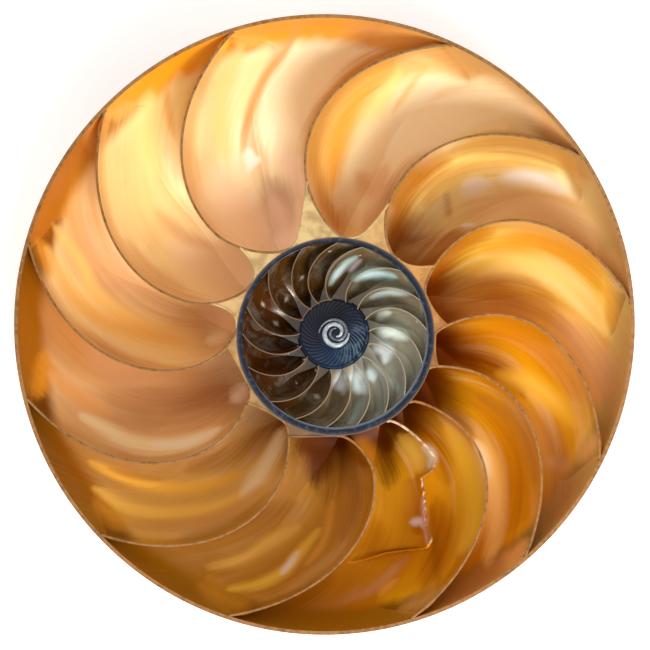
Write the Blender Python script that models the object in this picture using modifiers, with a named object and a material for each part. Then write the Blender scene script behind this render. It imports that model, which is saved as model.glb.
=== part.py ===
"""Half of a chambered seashell, sawn flat through its coil and lying on its domed back.

Metres, +Z up. The origin is under the middle of the round outline, on the surface that
the shell rests on. The sawn face is level, DEPTH above that surface, and looks up.
Angles run anticlockwise from +X, seen from above. The shell grew clockwise, so each
septum's hollow face looks clockwise and its sheet runs down and away under the next one.
"""
import math

import bmesh
import bpy
from mathutils import Matrix, Vector

# Whole shell half
OUTER_RADIUS = 0.075
DEPTH = 0.033
WALL = 0.0010
FLAT_RADIUS = 0.036
DOME_STEPS = 72
DOME_ARCS = 12

# Navel of the domed back
NAVEL_RADIUS = 0.030
NAVEL_HEIGHT = 0.014
NAVEL_RINGS = 6
NAVEL_STEPS = 42

# Outer whorl: the ring it grew round, and its septa
RING_CENTRE = (0.00266, -0.00290)
RING_RADIUS = 0.0242
RING_FOOT_RADIUS = 0.0205
SEPTUM = 0.0008
SEPTUM_FLOOR = 0.0017
SWEEP = 0.020

# Inner whorl, inside the ring
INNER_CENTRE = (0.00242, -0.00254)
INNER_RADIUS = 0.0222
INNER_FOOT_RADIUS = 0.0087
INNER_DEPTH = 0.0085
INNER_CREST = 0.0110
INNER_SEPTUM = 0.00045
INNER_SEPTUM_FLOOR = 0.0008
INNER_SWEEP = 0.0055
INNER_BELLY = 0.0111
INNER_BEND = 1.8
INNER_FOOT_BACK = 4.0

# Core: the ribbed disc and the little tube that winds up in its middle
CORE_CENTRE = (0.00217, -0.00217)
CORE_RADIUS = 0.0078
CORE_RIBS = 38
CORE_DEPTH = 0.0015
CORE_EDGE_DEPTH = 0.0006
RIB_HEIGHT = 0.0004
RIB_TWIST = 32.0
CORE_RIB_RADIUS = 0.0058
CORE_DISH_RADIUS = 0.0040
RIB_END = 0.02
COIL_CENTRE = (0.00283, -0.00208)
COIL_START = 0.0031
COIL_END = 0.0009
COIL_TURNS = 1.25
COIL_POINTS = 22
COIL_THICK = 0.00058
COIL_THIN = 0.00030
COIL_DEPTH = 0.0013

# Each outer septum: angle at the rim, angle and radius of its belly, angle at its foot
# and how sharply it bends towards the rim. Degrees and metres, anticlockwise.
SEPTA = {
    "A": (335.0, 368.3, 0.0357, 360.0, 1.80),
    "M": (310.8, 345.8, 0.0333, 340.8, 1.77),
    "L": (285.0, 324.6, 0.0333, 318.0, 2.05),
    "K": (267.0, 309.5, 0.0357, 301.0, 1.80),
    "J": (249.0, 285.6, 0.0338, 271.0, 1.60),
    "I": (220.2, 249.4, 0.0362, 237.6, 1.80),
    "H": (191.4, 222.2, 0.0362, 208.0, 1.80),
    "G": (163.2, 192.2, 0.0362, 175.0, 1.80),
    "F": (135.6, 166.8, 0.0362, 147.6, 1.80),
    "E": (108.6, 139.4, 0.0379, 117.6, 1.70),
    "D": (68.4, 100.5, 0.0386, 83.0, 1.80),
    "C": (36.0, 68.2, 0.0350, 51.6, 1.80),
    "B": (6.6, 38.2, 0.0374, 24.0, 1.95),
}
FOOT_GAP = 4.0

# Chambers' hollows: cells across, along and down, and where along them the belly falls
OUTER_CELLS = (4, 9, 4)
OUTER_BELLY_AT = 3 / 9
INNER_CELLS = (2, 5, 2)
INNER_BELLY_AT = 1 / 5

# Webbed corners behind the feet: how wide they are at the ring (degrees), how deep, how far
# up towards the belly they reach, and how far their hollows keep from their edges
WEBBED = "ABCDEFGHIJ"
WEB_FOOT = 9.0
WEB_FOOT_GAP = 2.5
WEB_DEPTH = 0.0025
WEB_TOP = 2 / 3
WEB_LIMB_TO = 0.86
WEB_BACK_FROM = 0.35
WEB_BACK_TO = 0.85
WEB_INSET = 0.06
WEB_LOWEST_SHARE = 0.012

# Each inner septum: angle of its belly and angle at the rim
INNER_SEPTA = (
    (9.6, -18.0), (30.0, 3.0), (51.6, 22.0), (74.4, 44.0), (100.8, 72.0), (120.0, 88.0),
    (135.6, 110.0), (157.8, 135.0), (181.0, 162.0), (201.4, 179.0), (222.3, 200.0),
    (245.8, 226.0), (266.4, 245.0), (288.0, 265.0), (307.5, 284.0), (325.2, 303.0),
    (348.0, 319.0),
)

# Broken septum: how deep its sheet is gone, as a share of the way down, along its length
BROKEN = "K"
BREAK_FROM = 0.42
BREAK_TO = 0.96
BREAK_DEPTHS = (0.30, 0.62, 0.60, 0.80, 0.94, 0.94)
BREAK_SIDE = 0.0012
BREAK_CELLS = 4

BOWL_ANGLE = math.radians(60)
FACE_STEP = 0.002
LEAST_SLANT = 0.3
CLEARANCE = 0.0015
MERGE = 0.000002
TINY = 0.00001


def outside_depth(radius):
    """How far the domed back lies below the sawn face, without its navel."""
    if radius <= FLAT_RADIUS:
        return DEPTH
    share = (radius - FLAT_RADIUS) / (OUTER_RADIUS - FLAT_RADIUS)
    return DEPTH * math.sqrt(max(0.0, 1 - share * share))


def navel_height(radius):
    """How high the navel reaches above the surface that the shell rests on."""
    if radius >= NAVEL_RADIUS:
        return 0.0
    return NAVEL_HEIGHT * math.cos(math.pi / 2 * radius / NAVEL_RADIUS) ** 2


def outer_floor(x, y):
    """Depth of the outer chambers' floor, one wall inside the domed back."""
    share = (math.hypot(x, y) - FLAT_RADIUS) / (OUTER_RADIUS - WALL - FLAT_RADIUS)
    share = min(1.0, max(0.0, share))
    dome = (DEPTH - WALL) * math.sqrt(1 - share * share)
    navel = navel_height(math.hypot(x - CORE_CENTRE[0], y - CORE_CENTRE[1]))
    return min(dome, DEPTH - WALL - navel)


def inner_floor(x, y):
    """Depth of the inner chambers' floor."""
    radius = math.hypot(x - INNER_CENTRE[0], y - INNER_CENTRE[1])
    share = min(1.0, max(0.0, (radius - INNER_CREST) / (INNER_RADIUS - INNER_CREST)))
    return INNER_DEPTH * math.sqrt(1 - share * share)


class Whorl:
    """The space between a foot circle and a rim, seen from its own centre.

    A place in it is a share (0 at the foot circle, 1 at the rim) and an angle.
    """

    def __init__(self, centre, foot, foot_at_floor, rim, floor, sweep, septum, septum_floor):
        self.centre = centre
        self.foot = foot
        self.foot_at_floor = foot_at_floor
        self.rim = rim
        self.floor = floor
        self.sweep = sweep
        self.septum = septum
        self.septum_floor = septum_floor

    def point(self, share, angle, foot=None):
        foot = self.foot if foot is None else foot
        radius = foot + share * (self.rim(angle) - foot)
        return Vector((self.centre[0] + radius * math.cos(angle),
                       self.centre[1] + radius * math.sin(angle)))

    def place(self, point, near):
        """Share and angle of a point, with the angle in the same turn as near."""
        x, y = point[0] - self.centre[0], point[1] - self.centre[1]
        angle = math.atan2(y, x)
        angle += 2 * math.pi * round((near - angle) / (2 * math.pi))
        share = (math.hypot(x, y) - self.foot) / (self.rim(angle) - self.foot)
        return share, angle

    def below(self, share, angle):
        """The floor point under which a place at the sawn face runs out."""
        share = min(1.0, max(0.0, share))
        top = self.point(share, angle)
        radius = math.hypot(top[0] - self.centre[0], top[1] - self.centre[1])
        turn = self.sweep * math.sin(math.pi * share) / radius
        return self.point(share, angle - turn, self.foot_at_floor)


def outer_rim(angle):
    """Distance from the ring's centre to the inside of the outer wall."""
    away = RING_CENTRE[0] * math.cos(angle) + RING_CENTRE[1] * math.sin(angle)
    across = RING_CENTRE[0] ** 2 + RING_CENTRE[1] ** 2 - (OUTER_RADIUS - WALL) ** 2
    return -away + math.sqrt(away * away - across)


def inner_rim(angle):
    """Distance from the inner whorl's centre to the inside of the ring, the same all round."""
    return INNER_RADIUS


OUTER = Whorl(RING_CENTRE, RING_RADIUS, RING_FOOT_RADIUS, outer_rim, outer_floor,
              SWEEP, SEPTUM, SEPTUM_FLOOR)
INNER = Whorl(INNER_CENTRE, INNER_FOOT_RADIUS, INNER_FOOT_RADIUS, inner_rim, inner_floor,
              INNER_SWEEP, INNER_SEPTUM, INNER_SEPTUM_FLOOR)


class Septum:
    """One septum's line on the sawn face, from its foot (0) over its belly to the rim (1)."""

    def __init__(self, whorl, rim, belly, belly_radius, foot, bend, belly_at):
        self.whorl = whorl
        self.rim = math.radians(rim)
        self.belly = math.radians(belly)
        self.foot = math.radians(foot)
        self.bend = bend
        self.belly_at = belly_at
        self.belly_share = (belly_radius - whorl.foot) / (whorl.rim(self.belly) - whorl.foot)

    def line(self, along):
        if along < self.belly_at:
            swing = math.pi / 2 * along / self.belly_at
            share = self.belly_share * (1 - math.cos(swing))
            return share, self.foot + (self.belly - self.foot) * math.sin(swing)
        out = math.sin(math.pi / 2 * (along - self.belly_at) / (1 - self.belly_at))
        share = self.belly_share + (1 - self.belly_share) * out
        return share, self.belly - (self.belly - self.rim) * out ** self.bend

    def face(self, along, side):
        """The same line moved sideways in the plane, to its hollow side where side is positive.

        Beyond the belly a point keeps its share of the way out and moves round, so that both
        faces end on the rim.
        """
        share, angle = self.line(along)
        here = self.whorl.point(share, angle)
        ahead = self.whorl.point(*self.line(min(1.0, along + FACE_STEP)))
        behind = self.whorl.point(*self.line(max(0.0, along - FACE_STEP)))
        run = (ahead - behind).normalized()
        if along >= self.belly_at:
            arm = here - Vector(self.whorl.centre)
            slant = max(LEAST_SLANT, run.dot(arm.normalized()))
            return share, angle - side / slant / arm.length
        if along <= 0:
            return 0.0, angle
        moved = here + Vector((run.y, -run.x)) * side
        share, angle = self.whorl.place(moved, angle)
        return max(0.0, share), angle


def outer_septum(name):
    return Septum(OUTER, *SEPTA[name], OUTER_BELLY_AT)


def inner_septum(number):
    belly, rim = INNER_SEPTA[number]
    return Septum(INNER, rim, belly, INNER_BELLY, belly - INNER_FOOT_BACK, INNER_BEND,
                  INNER_BELLY_AT)


def clockwise_of(septum, following):
    """The following septum, moved by whole turns to lie just clockwise of this one."""
    shift = 2 * math.pi * math.ceil((following.belly - septum.belly) / (2 * math.pi))
    following.rim -= shift
    following.belly -= shift
    following.foot -= shift
    return following


def mix(first, second, share):
    return tuple(a + (b - a) * share for a, b in zip(first, second))


def bowl(top, bottom, depth, down):
    """A point on a sheet that starts straight down at the sawn face and flares to the floor."""
    turn = BOWL_ANGLE * down
    over = (1 - math.cos(turn)) / (1 - math.cos(BOWL_ANGLE))
    flat = top + (bottom - top) * over
    return Vector((flat.x, flat.y, DEPTH - depth * math.sin(turn) / math.sin(BOWL_ANGLE)))


def add_block(bm, counts, move):
    """A cube cut into counts cells a side, with each point moved from (across, along, down)."""
    made = bmesh.ops.create_cube(bm, size=1.0, matrix=Matrix.Translation((0.5, 0.5, 0.5)))
    verts = set(made["verts"])
    for axis, count in enumerate(counts):
        normal = Vector([float(axis == n) for n in range(3)])
        for cut in range(1, count):
            geometry = list(verts)
            geometry += list({e for v in verts for e in v.link_edges})
            geometry += list({f for v in verts for f in v.link_faces})
            result = bmesh.ops.bisect_plane(bm, geom=geometry, dist=1e-7,
                                            plane_co=normal * (cut / count), plane_no=normal)
            verts |= {g for g in result["geom"] if isinstance(g, bmesh.types.BMVert)}
    for vert in verts:
        vert.co = move(*vert.co)
    return verts


def add_chamber(bm, whorl, left, right, counts):
    """One chamber's hollow, open at the sawn face, between the lines left and right."""
    layers = counts[2] + 1

    def move(across, along, down):
        layer = down * layers - 1
        share, angle = mix(left(along, 0), right(along, 0), across)
        top = whorl.point(share, angle)
        if layer < -0.5:
            return Vector((top.x, top.y, DEPTH + CLEARANCE))
        lean = max(0.0, layer) / counts[2]
        share, angle = mix(left(along, lean), right(along, lean), across)
        start = whorl.point(share, angle)
        end = whorl.below(share, angle)
        deep = 0.0 if along > 1 - TINY else whorl.floor(end.x, end.y)
        return bowl(start, end, deep, lean)

    add_block(bm, (counts[0], counts[1], layers), move)


def chamber_sides(whorl, septum, following, webbed=False):
    """The two side lines of the chamber between a septum and the one that follows it."""
    web_top = WEB_TOP * following.belly_at

    def half(along, lean):
        thicker = (whorl.septum_floor - whorl.septum) * lean ** 2 * (1 - along ** 4)
        return (whorl.septum + thicker) / 2

    def left(along, lean):
        return septum.face(along, half(along, lean))

    def right(along, lean):
        if webbed and along < web_top:
            foot = (0.0, septum.foot - math.radians(WEB_FOOT))
            return mix(foot, following.face(web_top, -half(web_top, lean)), along / web_top)
        if along <= 0:
            return 0.0, following.foot + math.radians(FOOT_GAP)
        return following.face(along, -half(along, lean))

    return left, right


def add_web(bm, whorl, septum, following):
    """The small three-cornered hollow between a chamber's limb, the ring and the next septum."""
    web_top = WEB_TOP * following.belly_at
    start = (0.0, septum.foot - math.radians(WEB_FOOT + WEB_FOOT_GAP))
    top = following.face(web_top, -whorl.septum / 2)

    def move(across, along, down):
        limb = mix(start, top, WEB_LIMB_TO * along)
        up = WEB_BACK_FROM + (WEB_BACK_TO - WEB_BACK_FROM) * along
        back = following.face(web_top * up, -whorl.septum / 2)
        share, angle = mix(limb, back, WEB_INSET + (1 - 2 * WEB_INSET) * across)
        flat = whorl.point(max(WEB_LOWEST_SHARE, share), angle)
        return Vector((flat.x, flat.y, DEPTH + CLEARANCE - (CLEARANCE + WEB_DEPTH) * down))

    add_block(bm, (1, 2, 1), move)


def add_break(bm, whorl, septum):
    """The part of the broken septum's sheet that is gone, from the sawn face down."""
    parts = len(BREAK_DEPTHS) - 1
    above = 1 / BREAK_CELLS

    def move(across, along, down):
        at = BREAK_FROM + (1 - BREAK_FROM) * along * BREAK_TO
        side = BREAK_SIDE * (2 * across - 1)
        share, angle = septum.face(at, side)
        top = whorl.point(share, angle)
        if down < above:
            return Vector((top.x, top.y, DEPTH + CLEARANCE))
        place = along * parts
        step = min(parts - 1, int(place))
        deep = BREAK_DEPTHS[step] + (BREAK_DEPTHS[step + 1] - BREAK_DEPTHS[step]) * (place - step)
        lean = deep * (down - above) / (1 - above)
        end = whorl.below(share, angle)
        return bowl(top, end, whorl.floor(end.x, end.y), lean)

    add_block(bm, (1, parts, BREAK_CELLS), move)


def finish_mesh(bm, name):
    bmesh.ops.remove_doubles(bm, verts=bm.verts, dist=MERGE)
    bmesh.ops.dissolve_degenerate(bm, edges=bm.edges, dist=MERGE)
    bmesh.ops.recalc_face_normals(bm, faces=bm.faces)
    mesh = bpy.data.meshes.new(name)
    bm.to_mesh(mesh)
    bm.free()
    return mesh


def new_object(name, mesh, collection):
    made = bpy.data.objects.new(name, mesh)
    collection.objects.link(made)
    return made


def turned(name, profile, steps, collection):
    """A solid turned about the Z axis from a profile that runs from the axis and back to it."""
    mesh = bpy.data.meshes.new(name)
    mesh.from_pydata([(r, 0.0, z) for r, z in profile],
                     [(n, n + 1) for n in range(len(profile) - 1)], [])
    made = new_object(name, mesh, collection)
    screw = made.modifiers.new("turn", "SCREW")
    screw.axis = "Z"
    screw.angle = 2 * math.pi
    screw.steps = screw.render_steps = steps
    screw.use_merge_vertices = True
    screw.merge_threshold = MERGE
    screw.use_smooth_shade = False
    return made


def make_dome(collection):
    """The whole outside form: a flat sawn face over a dome that flattens to its crest."""
    profile = [(0.0, DEPTH)]
    for n in range(DOME_ARCS + 1):
        swing = math.pi / 2 * n / DOME_ARCS
        radius = FLAT_RADIUS + (OUTER_RADIUS - FLAT_RADIUS) * math.cos(swing)
        profile.append((radius, DEPTH - outside_depth(radius)))
    profile.append((0.0, 0.0))
    return turned("shell_half", profile, DOME_STEPS, collection)


def make_navel(collection):
    profile = [(0.0, NAVEL_HEIGHT)]
    for n in range(1, NAVEL_RINGS + 1):
        radius = NAVEL_RADIUS * n / NAVEL_RINGS
        profile.append((radius, navel_height(radius)))
    profile += [(NAVEL_RADIUS, -CLEARANCE), (0.0, -CLEARANCE)]
    made = turned("navel_cutter", profile, NAVEL_STEPS, collection)
    made.location = (CORE_CENTRE[0], CORE_CENTRE[1], 0.0)
    return made


def make_outer_cutters(collection):
    """The outer chambers, the webbed corners and the broken gap, each kind as one cutter."""
    meshes = {name: bmesh.new() for name in ("chamber_cutter", "web_cutter", "break_cutter")}
    names = list(SEPTA)
    for index, name in enumerate(names):
        septum = outer_septum(name)
        following = clockwise_of(septum, outer_septum(names[(index + 1) % len(names)]))
        webbed = name in WEBBED
        left, right = chamber_sides(OUTER, septum, following, webbed)
        add_chamber(meshes["chamber_cutter"], OUTER, left, right, OUTER_CELLS)
        if webbed:
            add_web(meshes["web_cutter"], OUTER, septum, following)
        if name == BROKEN:
            add_break(meshes["break_cutter"], OUTER, septum)
    return [new_object(name, finish_mesh(bm, name), collection) for name, bm in meshes.items()]


def make_inner_cutters(collection):
    bm = bmesh.new()
    for number in range(len(INNER_SEPTA)):
        septum = inner_septum(number)
        following = clockwise_of(septum, inner_septum(number - 1))
        left, right = chamber_sides(INNER, septum, following)
        add_chamber(bm, INNER, left, right, INNER_CELLS)
    return new_object("inner_chamber_cutter", finish_mesh(bm, "inner_chamber_cutter"), collection)


def make_core_cutter(collection):
    """A shallow dish whose floor rises in fine curved ribs round a plain middle."""
    bm = bmesh.new()
    segments = 2 * CORE_RIBS
    deepest = DEPTH - CORE_DEPTH
    height = CLEARANCE + CORE_DEPTH
    bmesh.ops.create_cone(bm, cap_ends=True, segments=segments, radius1=CORE_RADIUS,
                          radius2=CORE_RADIUS, depth=height,
                          matrix=Matrix.Translation((0, 0, deepest + height / 2)))
    floor = min(bm.faces, key=lambda face: face.calc_center_median().z)
    for wanted in (CORE_RIB_RADIUS, CORE_DISH_RADIUS):
        now = max(vert.co.xy.length for vert in floor.verts)
        bmesh.ops.inset_individual(bm, faces=[floor], thickness=now - wanted, use_even_offset=True)
        floor = min((face for face in bm.faces if len(face.verts) == segments),
                    key=lambda face: face.calc_center_median().z)
    for vert in bm.verts:
        if vert.co.z > DEPTH:
            continue
        radius = vert.co.xy.length
        angle = math.atan2(vert.co.y, vert.co.x)
        step = round(angle / (2 * math.pi) * segments)
        out = (radius - CORE_DISH_RADIUS) / (CORE_RADIUS - CORE_DISH_RADIUS)
        depth = CORE_DEPTH + (CORE_EDGE_DEPTH - CORE_DEPTH) * max(0.0, out)
        ribbed = step % 2 == 0 and RIB_END < out < 1 - RIB_END
        vert.co.z = DEPTH - depth + (RIB_HEIGHT if ribbed else 0.0)
        if out < 1 - RIB_END:
            angle += math.radians(RIB_TWIST) * (1 - out)
            vert.co.x = radius * math.cos(angle)
            vert.co.y = radius * math.sin(angle)
    bmesh.ops.translate(bm, verts=bm.verts, vec=(CORE_CENTRE[0], CORE_CENTRE[1], 0.0))
    return new_object("core_cutter", finish_mesh(bm, "core_cutter"), collection)


def make_coil(collection):
    """The little tube that winds up in the middle, as a mesh to be joined on."""
    data = bpy.data.curves.new("coil_line", "CURVE")
    data.dimensions = "3D"
    data.bevel_depth = COIL_THICK
    data.bevel_resolution = 1
    data.use_fill_caps = True
    spline = data.splines.new("POLY")
    spline.points.add(COIL_POINTS - 1)
    for n, point in enumerate(spline.points):
        along = n / (COIL_POINTS - 1)
        angle = -2 * math.pi * COIL_TURNS * along
        radius = COIL_START + (COIL_END - COIL_START) * along
        point.co = (COIL_CENTRE[0] + radius * math.cos(angle),
                    COIL_CENTRE[1] + radius * math.sin(angle), DEPTH - COIL_DEPTH, 1.0)
        point.radius = 1 + (COIL_THIN / COIL_THICK - 1) * along
    line = new_object("coil_line", data, collection)
    bpy.context.view_layer.update()
    evaluated = line.evaluated_get(bpy.context.evaluated_depsgraph_get())
    mesh = bpy.data.meshes.new_from_object(evaluated)
    bm = bmesh.new()
    bm.from_mesh(mesh)
    bmesh.ops.remove_doubles(bm, verts=bm.verts, dist=MERGE)
    bmesh.ops.recalc_face_normals(bm, faces=bm.faces)
    bm.to_mesh(mesh)
    bm.free()
    made = new_object("coil_joined", mesh, collection)
    bpy.data.objects.remove(line)
    return made


def nacre():
    material = bpy.data.materials.new("nacre")
    material.use_nodes = True
    shader = material.node_tree.nodes["Principled BSDF"]
    shader.inputs["Base Color"].default_value = (0.78, 0.50, 0.20, 1.0)
    shader.inputs["Roughness"].default_value = 0.28
    shader.inputs["Metallic"].default_value = 0.0
    return material


def new_collection(name):
    made = bpy.data.collections.new(name)
    bpy.context.scene.collection.children.link(made)
    return made


def main():
    for old in list(bpy.data.objects):
        bpy.data.objects.remove(old)
    parts = new_collection("shell_half")
    cutters = new_collection("cutters")
    shell = make_dome(parts)
    tools = [make_navel(cutters), *make_outer_cutters(cutters), make_inner_cutters(cutters),
             make_core_cutter(cutters), make_coil(cutters)]
    for tool in tools:
        tool.hide_render = True
        tool.display_type = "WIRE"
        boolean = shell.modifiers.new(tool.name, "BOOLEAN")
        boolean.operation = "UNION" if tool.name == "coil_joined" else "DIFFERENCE"
        boolean.solver = "EXACT"
        boolean.object = tool
    shell.data.materials.append(nacre())


main()
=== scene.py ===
"""A sawn nautilus shell half, cut face up: its nacre, septa, ring, dark inner whorl and core."""

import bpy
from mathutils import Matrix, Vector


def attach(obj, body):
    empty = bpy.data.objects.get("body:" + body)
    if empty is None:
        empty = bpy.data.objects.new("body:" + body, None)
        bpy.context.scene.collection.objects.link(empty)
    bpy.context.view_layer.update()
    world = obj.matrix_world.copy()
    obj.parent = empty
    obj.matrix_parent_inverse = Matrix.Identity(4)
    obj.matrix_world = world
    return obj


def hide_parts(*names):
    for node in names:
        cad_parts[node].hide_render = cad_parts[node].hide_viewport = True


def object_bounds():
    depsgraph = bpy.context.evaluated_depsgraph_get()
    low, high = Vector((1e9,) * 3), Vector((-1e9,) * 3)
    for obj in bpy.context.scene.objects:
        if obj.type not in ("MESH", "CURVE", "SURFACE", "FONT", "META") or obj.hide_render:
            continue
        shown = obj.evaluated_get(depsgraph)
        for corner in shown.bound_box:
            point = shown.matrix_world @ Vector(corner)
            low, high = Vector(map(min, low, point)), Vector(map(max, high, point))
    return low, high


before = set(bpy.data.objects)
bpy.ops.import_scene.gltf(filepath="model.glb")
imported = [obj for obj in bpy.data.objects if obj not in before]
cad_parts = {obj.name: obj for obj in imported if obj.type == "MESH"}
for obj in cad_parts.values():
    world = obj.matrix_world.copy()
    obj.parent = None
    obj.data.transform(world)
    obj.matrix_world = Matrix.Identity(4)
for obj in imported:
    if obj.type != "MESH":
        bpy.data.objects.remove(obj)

import copy
import math

import bmesh
import bpy
import numpy as np
from mathutils import Matrix, Vector, noise
from mathutils.kdtree import KDTree

CAD_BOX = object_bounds()
LOW, HIGH = CAD_BOX
MM = 0.001

# Whole shell half, from the frame
OUTER_RADIUS = (HIGH[0] - LOW[0]) / 2
DEPTH = HIGH[2] - LOW[2]
WALL = 0.9 * MM
CREST_RADIUS = 0.036

# Navel of the domed back
NAVEL_RADIUS = 0.030
NAVEL_HEIGHT = 0.014

# Outer whorl
RING_CENTRE = (0.00266, -0.00290)
RING_RADIUS = 0.0240
RING_FOOT_RADIUS = 0.0205
SEPTUM = 0.60 * MM
SWEEP = 0.020
RIM_SWEEP = 0.75
FLOOR_SHARE = 0.965
BELLY_AT = 1 / 3

# Inner whorl
INNER_CENTRE = (0.00242, -0.00254)
INNER_RADIUS = 0.0223
INNER_FOOT_RADIUS = 0.0084
INNER_DEPTH = 0.0085
INNER_CREST = 0.0110
INNER_SEPTUM = 0.26 * MM
INNER_SWEEP = 0.0055
INNER_BELLY = 0.0111
INNER_BEND = 1.8
INNER_FOOT_BACK = 4.0
INNER_BELLY_AT = 1 / 5

# Core
CORE_CENTRE = (0.00217, -0.00217)
CORE_RADIUS = 0.0080
CORE_RIBS = 38
CORE_DEPTH = 1.6 * MM
CORE_EDGE_DEPTH = 0.35 * MM
RIB_HEIGHT = 0.35 * MM
RIB_TWIST = math.radians(34)
DISH_RADIUS = 0.0036
COIL_CENTRE = (0.00283, -0.00208)

# Each outer septum: angle at the rim, angle and radius of its belly, angle at its foot
# and how sharply it bends towards the rim. Degrees and metres, anticlockwise.
SEPTA = {
    "a": (335.0, 368.3, 0.0357, 360.0, 1.80),
    "m": (310.8, 345.8, 0.0333, 340.8, 1.77),
    "l": (285.0, 324.6, 0.0333, 318.0, 2.05),
    "k": (267.0, 309.5, 0.0357, 301.0, 1.80),
    "j": (249.0, 285.6, 0.0338, 271.0, 1.60),
    "i": (220.2, 249.4, 0.0362, 237.6, 1.80),
    "h": (191.4, 222.2, 0.0362, 208.0, 1.80),
    "g": (163.2, 192.2, 0.0362, 175.0, 1.80),
    "f": (135.6, 166.8, 0.0362, 147.6, 1.80),
    "e": (108.6, 139.4, 0.0379, 117.6, 1.70),
    "d": (68.4, 100.5, 0.0386, 83.0, 1.80),
    "c": (36.0, 68.2, 0.0350, 51.6, 1.80),
    "b": (6.6, 38.2, 0.0374, 24.0, 1.95),
}
BROKEN = "k"
# How far up the next septum's back, towards its belly, the corner behind each foot is webbed
WEB_TOPS = {"a": 0.40, "b": 0.48, "c": 0.60, "d": 0.98, "e": 0.98, "f": 0.70, "g": 0.74,
            "h": 0.38, "i": 0.42, "j": 0.42}
WEB_FOOT = math.radians(9.5)
WEB_SINK = 0.10 * MM
WEB_THICK = 2.0 * MM
LIMB_SHARE = 0.16

INNER_SEPTA = (
    (9.6, -18.0), (30.0, 3.0), (51.6, 22.0), (74.4, 44.0), (100.8, 72.0), (120.0, 88.0),
    (135.6, 110.0), (157.8, 135.0), (181.0, 162.0), (201.4, 179.0), (222.3, 200.0),
    (245.8, 226.0), (266.4, 245.0), (288.0, 265.0), (307.5, 284.0), (325.2, 303.0),
    (348.0, 319.0),
)

BOWL_ANGLE = math.radians(84)
BURIED = 0.45 * MM
WALL_REACH = 0.90
SUNK_EDGE = 0.02 * MM


def linear(red, green, blue):
    """A screen colour, 0 to 255, as the linear colour a shader takes."""
    def one(value):
        value /= 255
        return value / 12.92 if value <= 0.04045 else ((value + 0.055) / 1.055) ** 2.4
    return one(red), one(green), one(blue), 1.0


def outside_depth(radius):
    """How far the domed back lies below the sawn face, without its navel."""
    share = max(0.0, (radius - CREST_RADIUS) / (OUTER_RADIUS - CREST_RADIUS))
    return DEPTH * math.sqrt(max(0.0, 1 - share * share))


def navel_height(radius):
    """How high the navel reaches above the surface that the shell rests on."""
    if radius >= NAVEL_RADIUS:
        return 0.0
    return NAVEL_HEIGHT * math.cos(math.pi / 2 * radius / NAVEL_RADIUS) ** 2


def outer_floor(x, y):
    """Depth of the outer chambers' floor, one wall inside the domed back."""
    share = (math.hypot(x, y) - CREST_RADIUS) / (OUTER_RADIUS - WALL - CREST_RADIUS)
    share = min(1.0, max(0.0, share))
    dome = (DEPTH - WALL) * math.sqrt(1 - share * share)
    navel = navel_height(math.hypot(x - CORE_CENTRE[0], y - CORE_CENTRE[1]))
    return min(dome, DEPTH - WALL - navel)


def inner_floor(x, y):
    """Depth of the inner chambers' floor."""
    radius = math.hypot(x - INNER_CENTRE[0], y - INNER_CENTRE[1])
    share = min(1.0, max(0.0, (radius - INNER_CREST) / (INNER_RADIUS - INNER_CREST)))
    return INNER_DEPTH * math.sqrt(1 - share * share)


def outer_rim(angle):
    """Distance from the ring's centre to the inside of the outer wall."""
    away = RING_CENTRE[0] * math.cos(angle) + RING_CENTRE[1] * math.sin(angle)
    across = RING_CENTRE[0] ** 2 + RING_CENTRE[1] ** 2 - (OUTER_RADIUS - WALL) ** 2
    return -away + math.sqrt(away * away - across)


def inner_rim(angle):
    """Distance from the inner whorl's centre to the inside of the ring, the same all round."""
    return INNER_RADIUS


class Whorl:
    """The space between a foot circle and a rim: a place is a share outwards and an angle."""

    def __init__(self, centre, foot, foot_at_floor, rim, floor, sweep):
        self.centre = centre
        self.foot = foot
        self.foot_at_floor = foot_at_floor
        self.rim = rim
        self.floor = floor
        self.sweep = sweep

    def point(self, share, angle, foot=None):
        foot = self.foot if foot is None else foot
        radius = foot + share * (self.rim(angle) - foot)
        return Vector((self.centre[0] + radius * math.cos(angle),
                       self.centre[1] + radius * math.sin(angle)))

    def place(self, x, y):
        x, y = x - self.centre[0], y - self.centre[1]
        angle = math.atan2(y, x)
        return (math.hypot(x, y) - self.foot) / (self.rim(angle) - self.foot), angle

    def below(self, share, angle):
        """The floor point where the sheet that starts at this place on the sawn face ends."""
        share = min(1.0, max(0.0, share))
        radius = self.foot + share * (self.rim(angle) - self.foot)
        reach = math.sin(math.pi * min(share, 0.5))
        reach *= 1 - (1 - RIM_SWEEP) * smooth(share, 0.5, 1.0)
        turn = self.sweep * reach / radius
        return self.point(share * FLOOR_SHARE, angle - turn, self.foot_at_floor)


OUTER = Whorl(RING_CENTRE, RING_RADIUS, RING_FOOT_RADIUS, outer_rim, outer_floor, SWEEP)
INNER = Whorl(INNER_CENTRE, INNER_FOOT_RADIUS, INNER_FOOT_RADIUS, inner_rim, inner_floor,
              INNER_SWEEP)


class Septum:
    """One septum's line on the sawn face, from its foot (0) over its belly to the rim (1)."""

    def __init__(self, whorl, rim, belly, belly_radius, foot, bend, belly_at):
        self.whorl = whorl
        self.rim, self.belly, self.foot = (math.radians(a) for a in (rim, belly, foot))
        self.bend = bend
        self.belly_at = belly_at
        self.belly_share = (belly_radius - whorl.foot) / (whorl.rim(self.belly) - whorl.foot)

    def line(self, along):
        if along < self.belly_at:
            swing = math.pi / 2 * along / self.belly_at
            share = self.belly_share * (1 - math.cos(swing))
            return share, self.foot + (self.belly - self.foot) * math.sin(swing)
        out = math.sin(math.pi / 2 * (along - self.belly_at) / (1 - self.belly_at))
        share = self.belly_share + (1 - self.belly_share) * out
        return share, self.belly - (self.belly - self.rim) * out ** self.bend


def mix(first, second, share):
    return tuple(a + (b - a) * share for a, b in zip(first, second))


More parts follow.
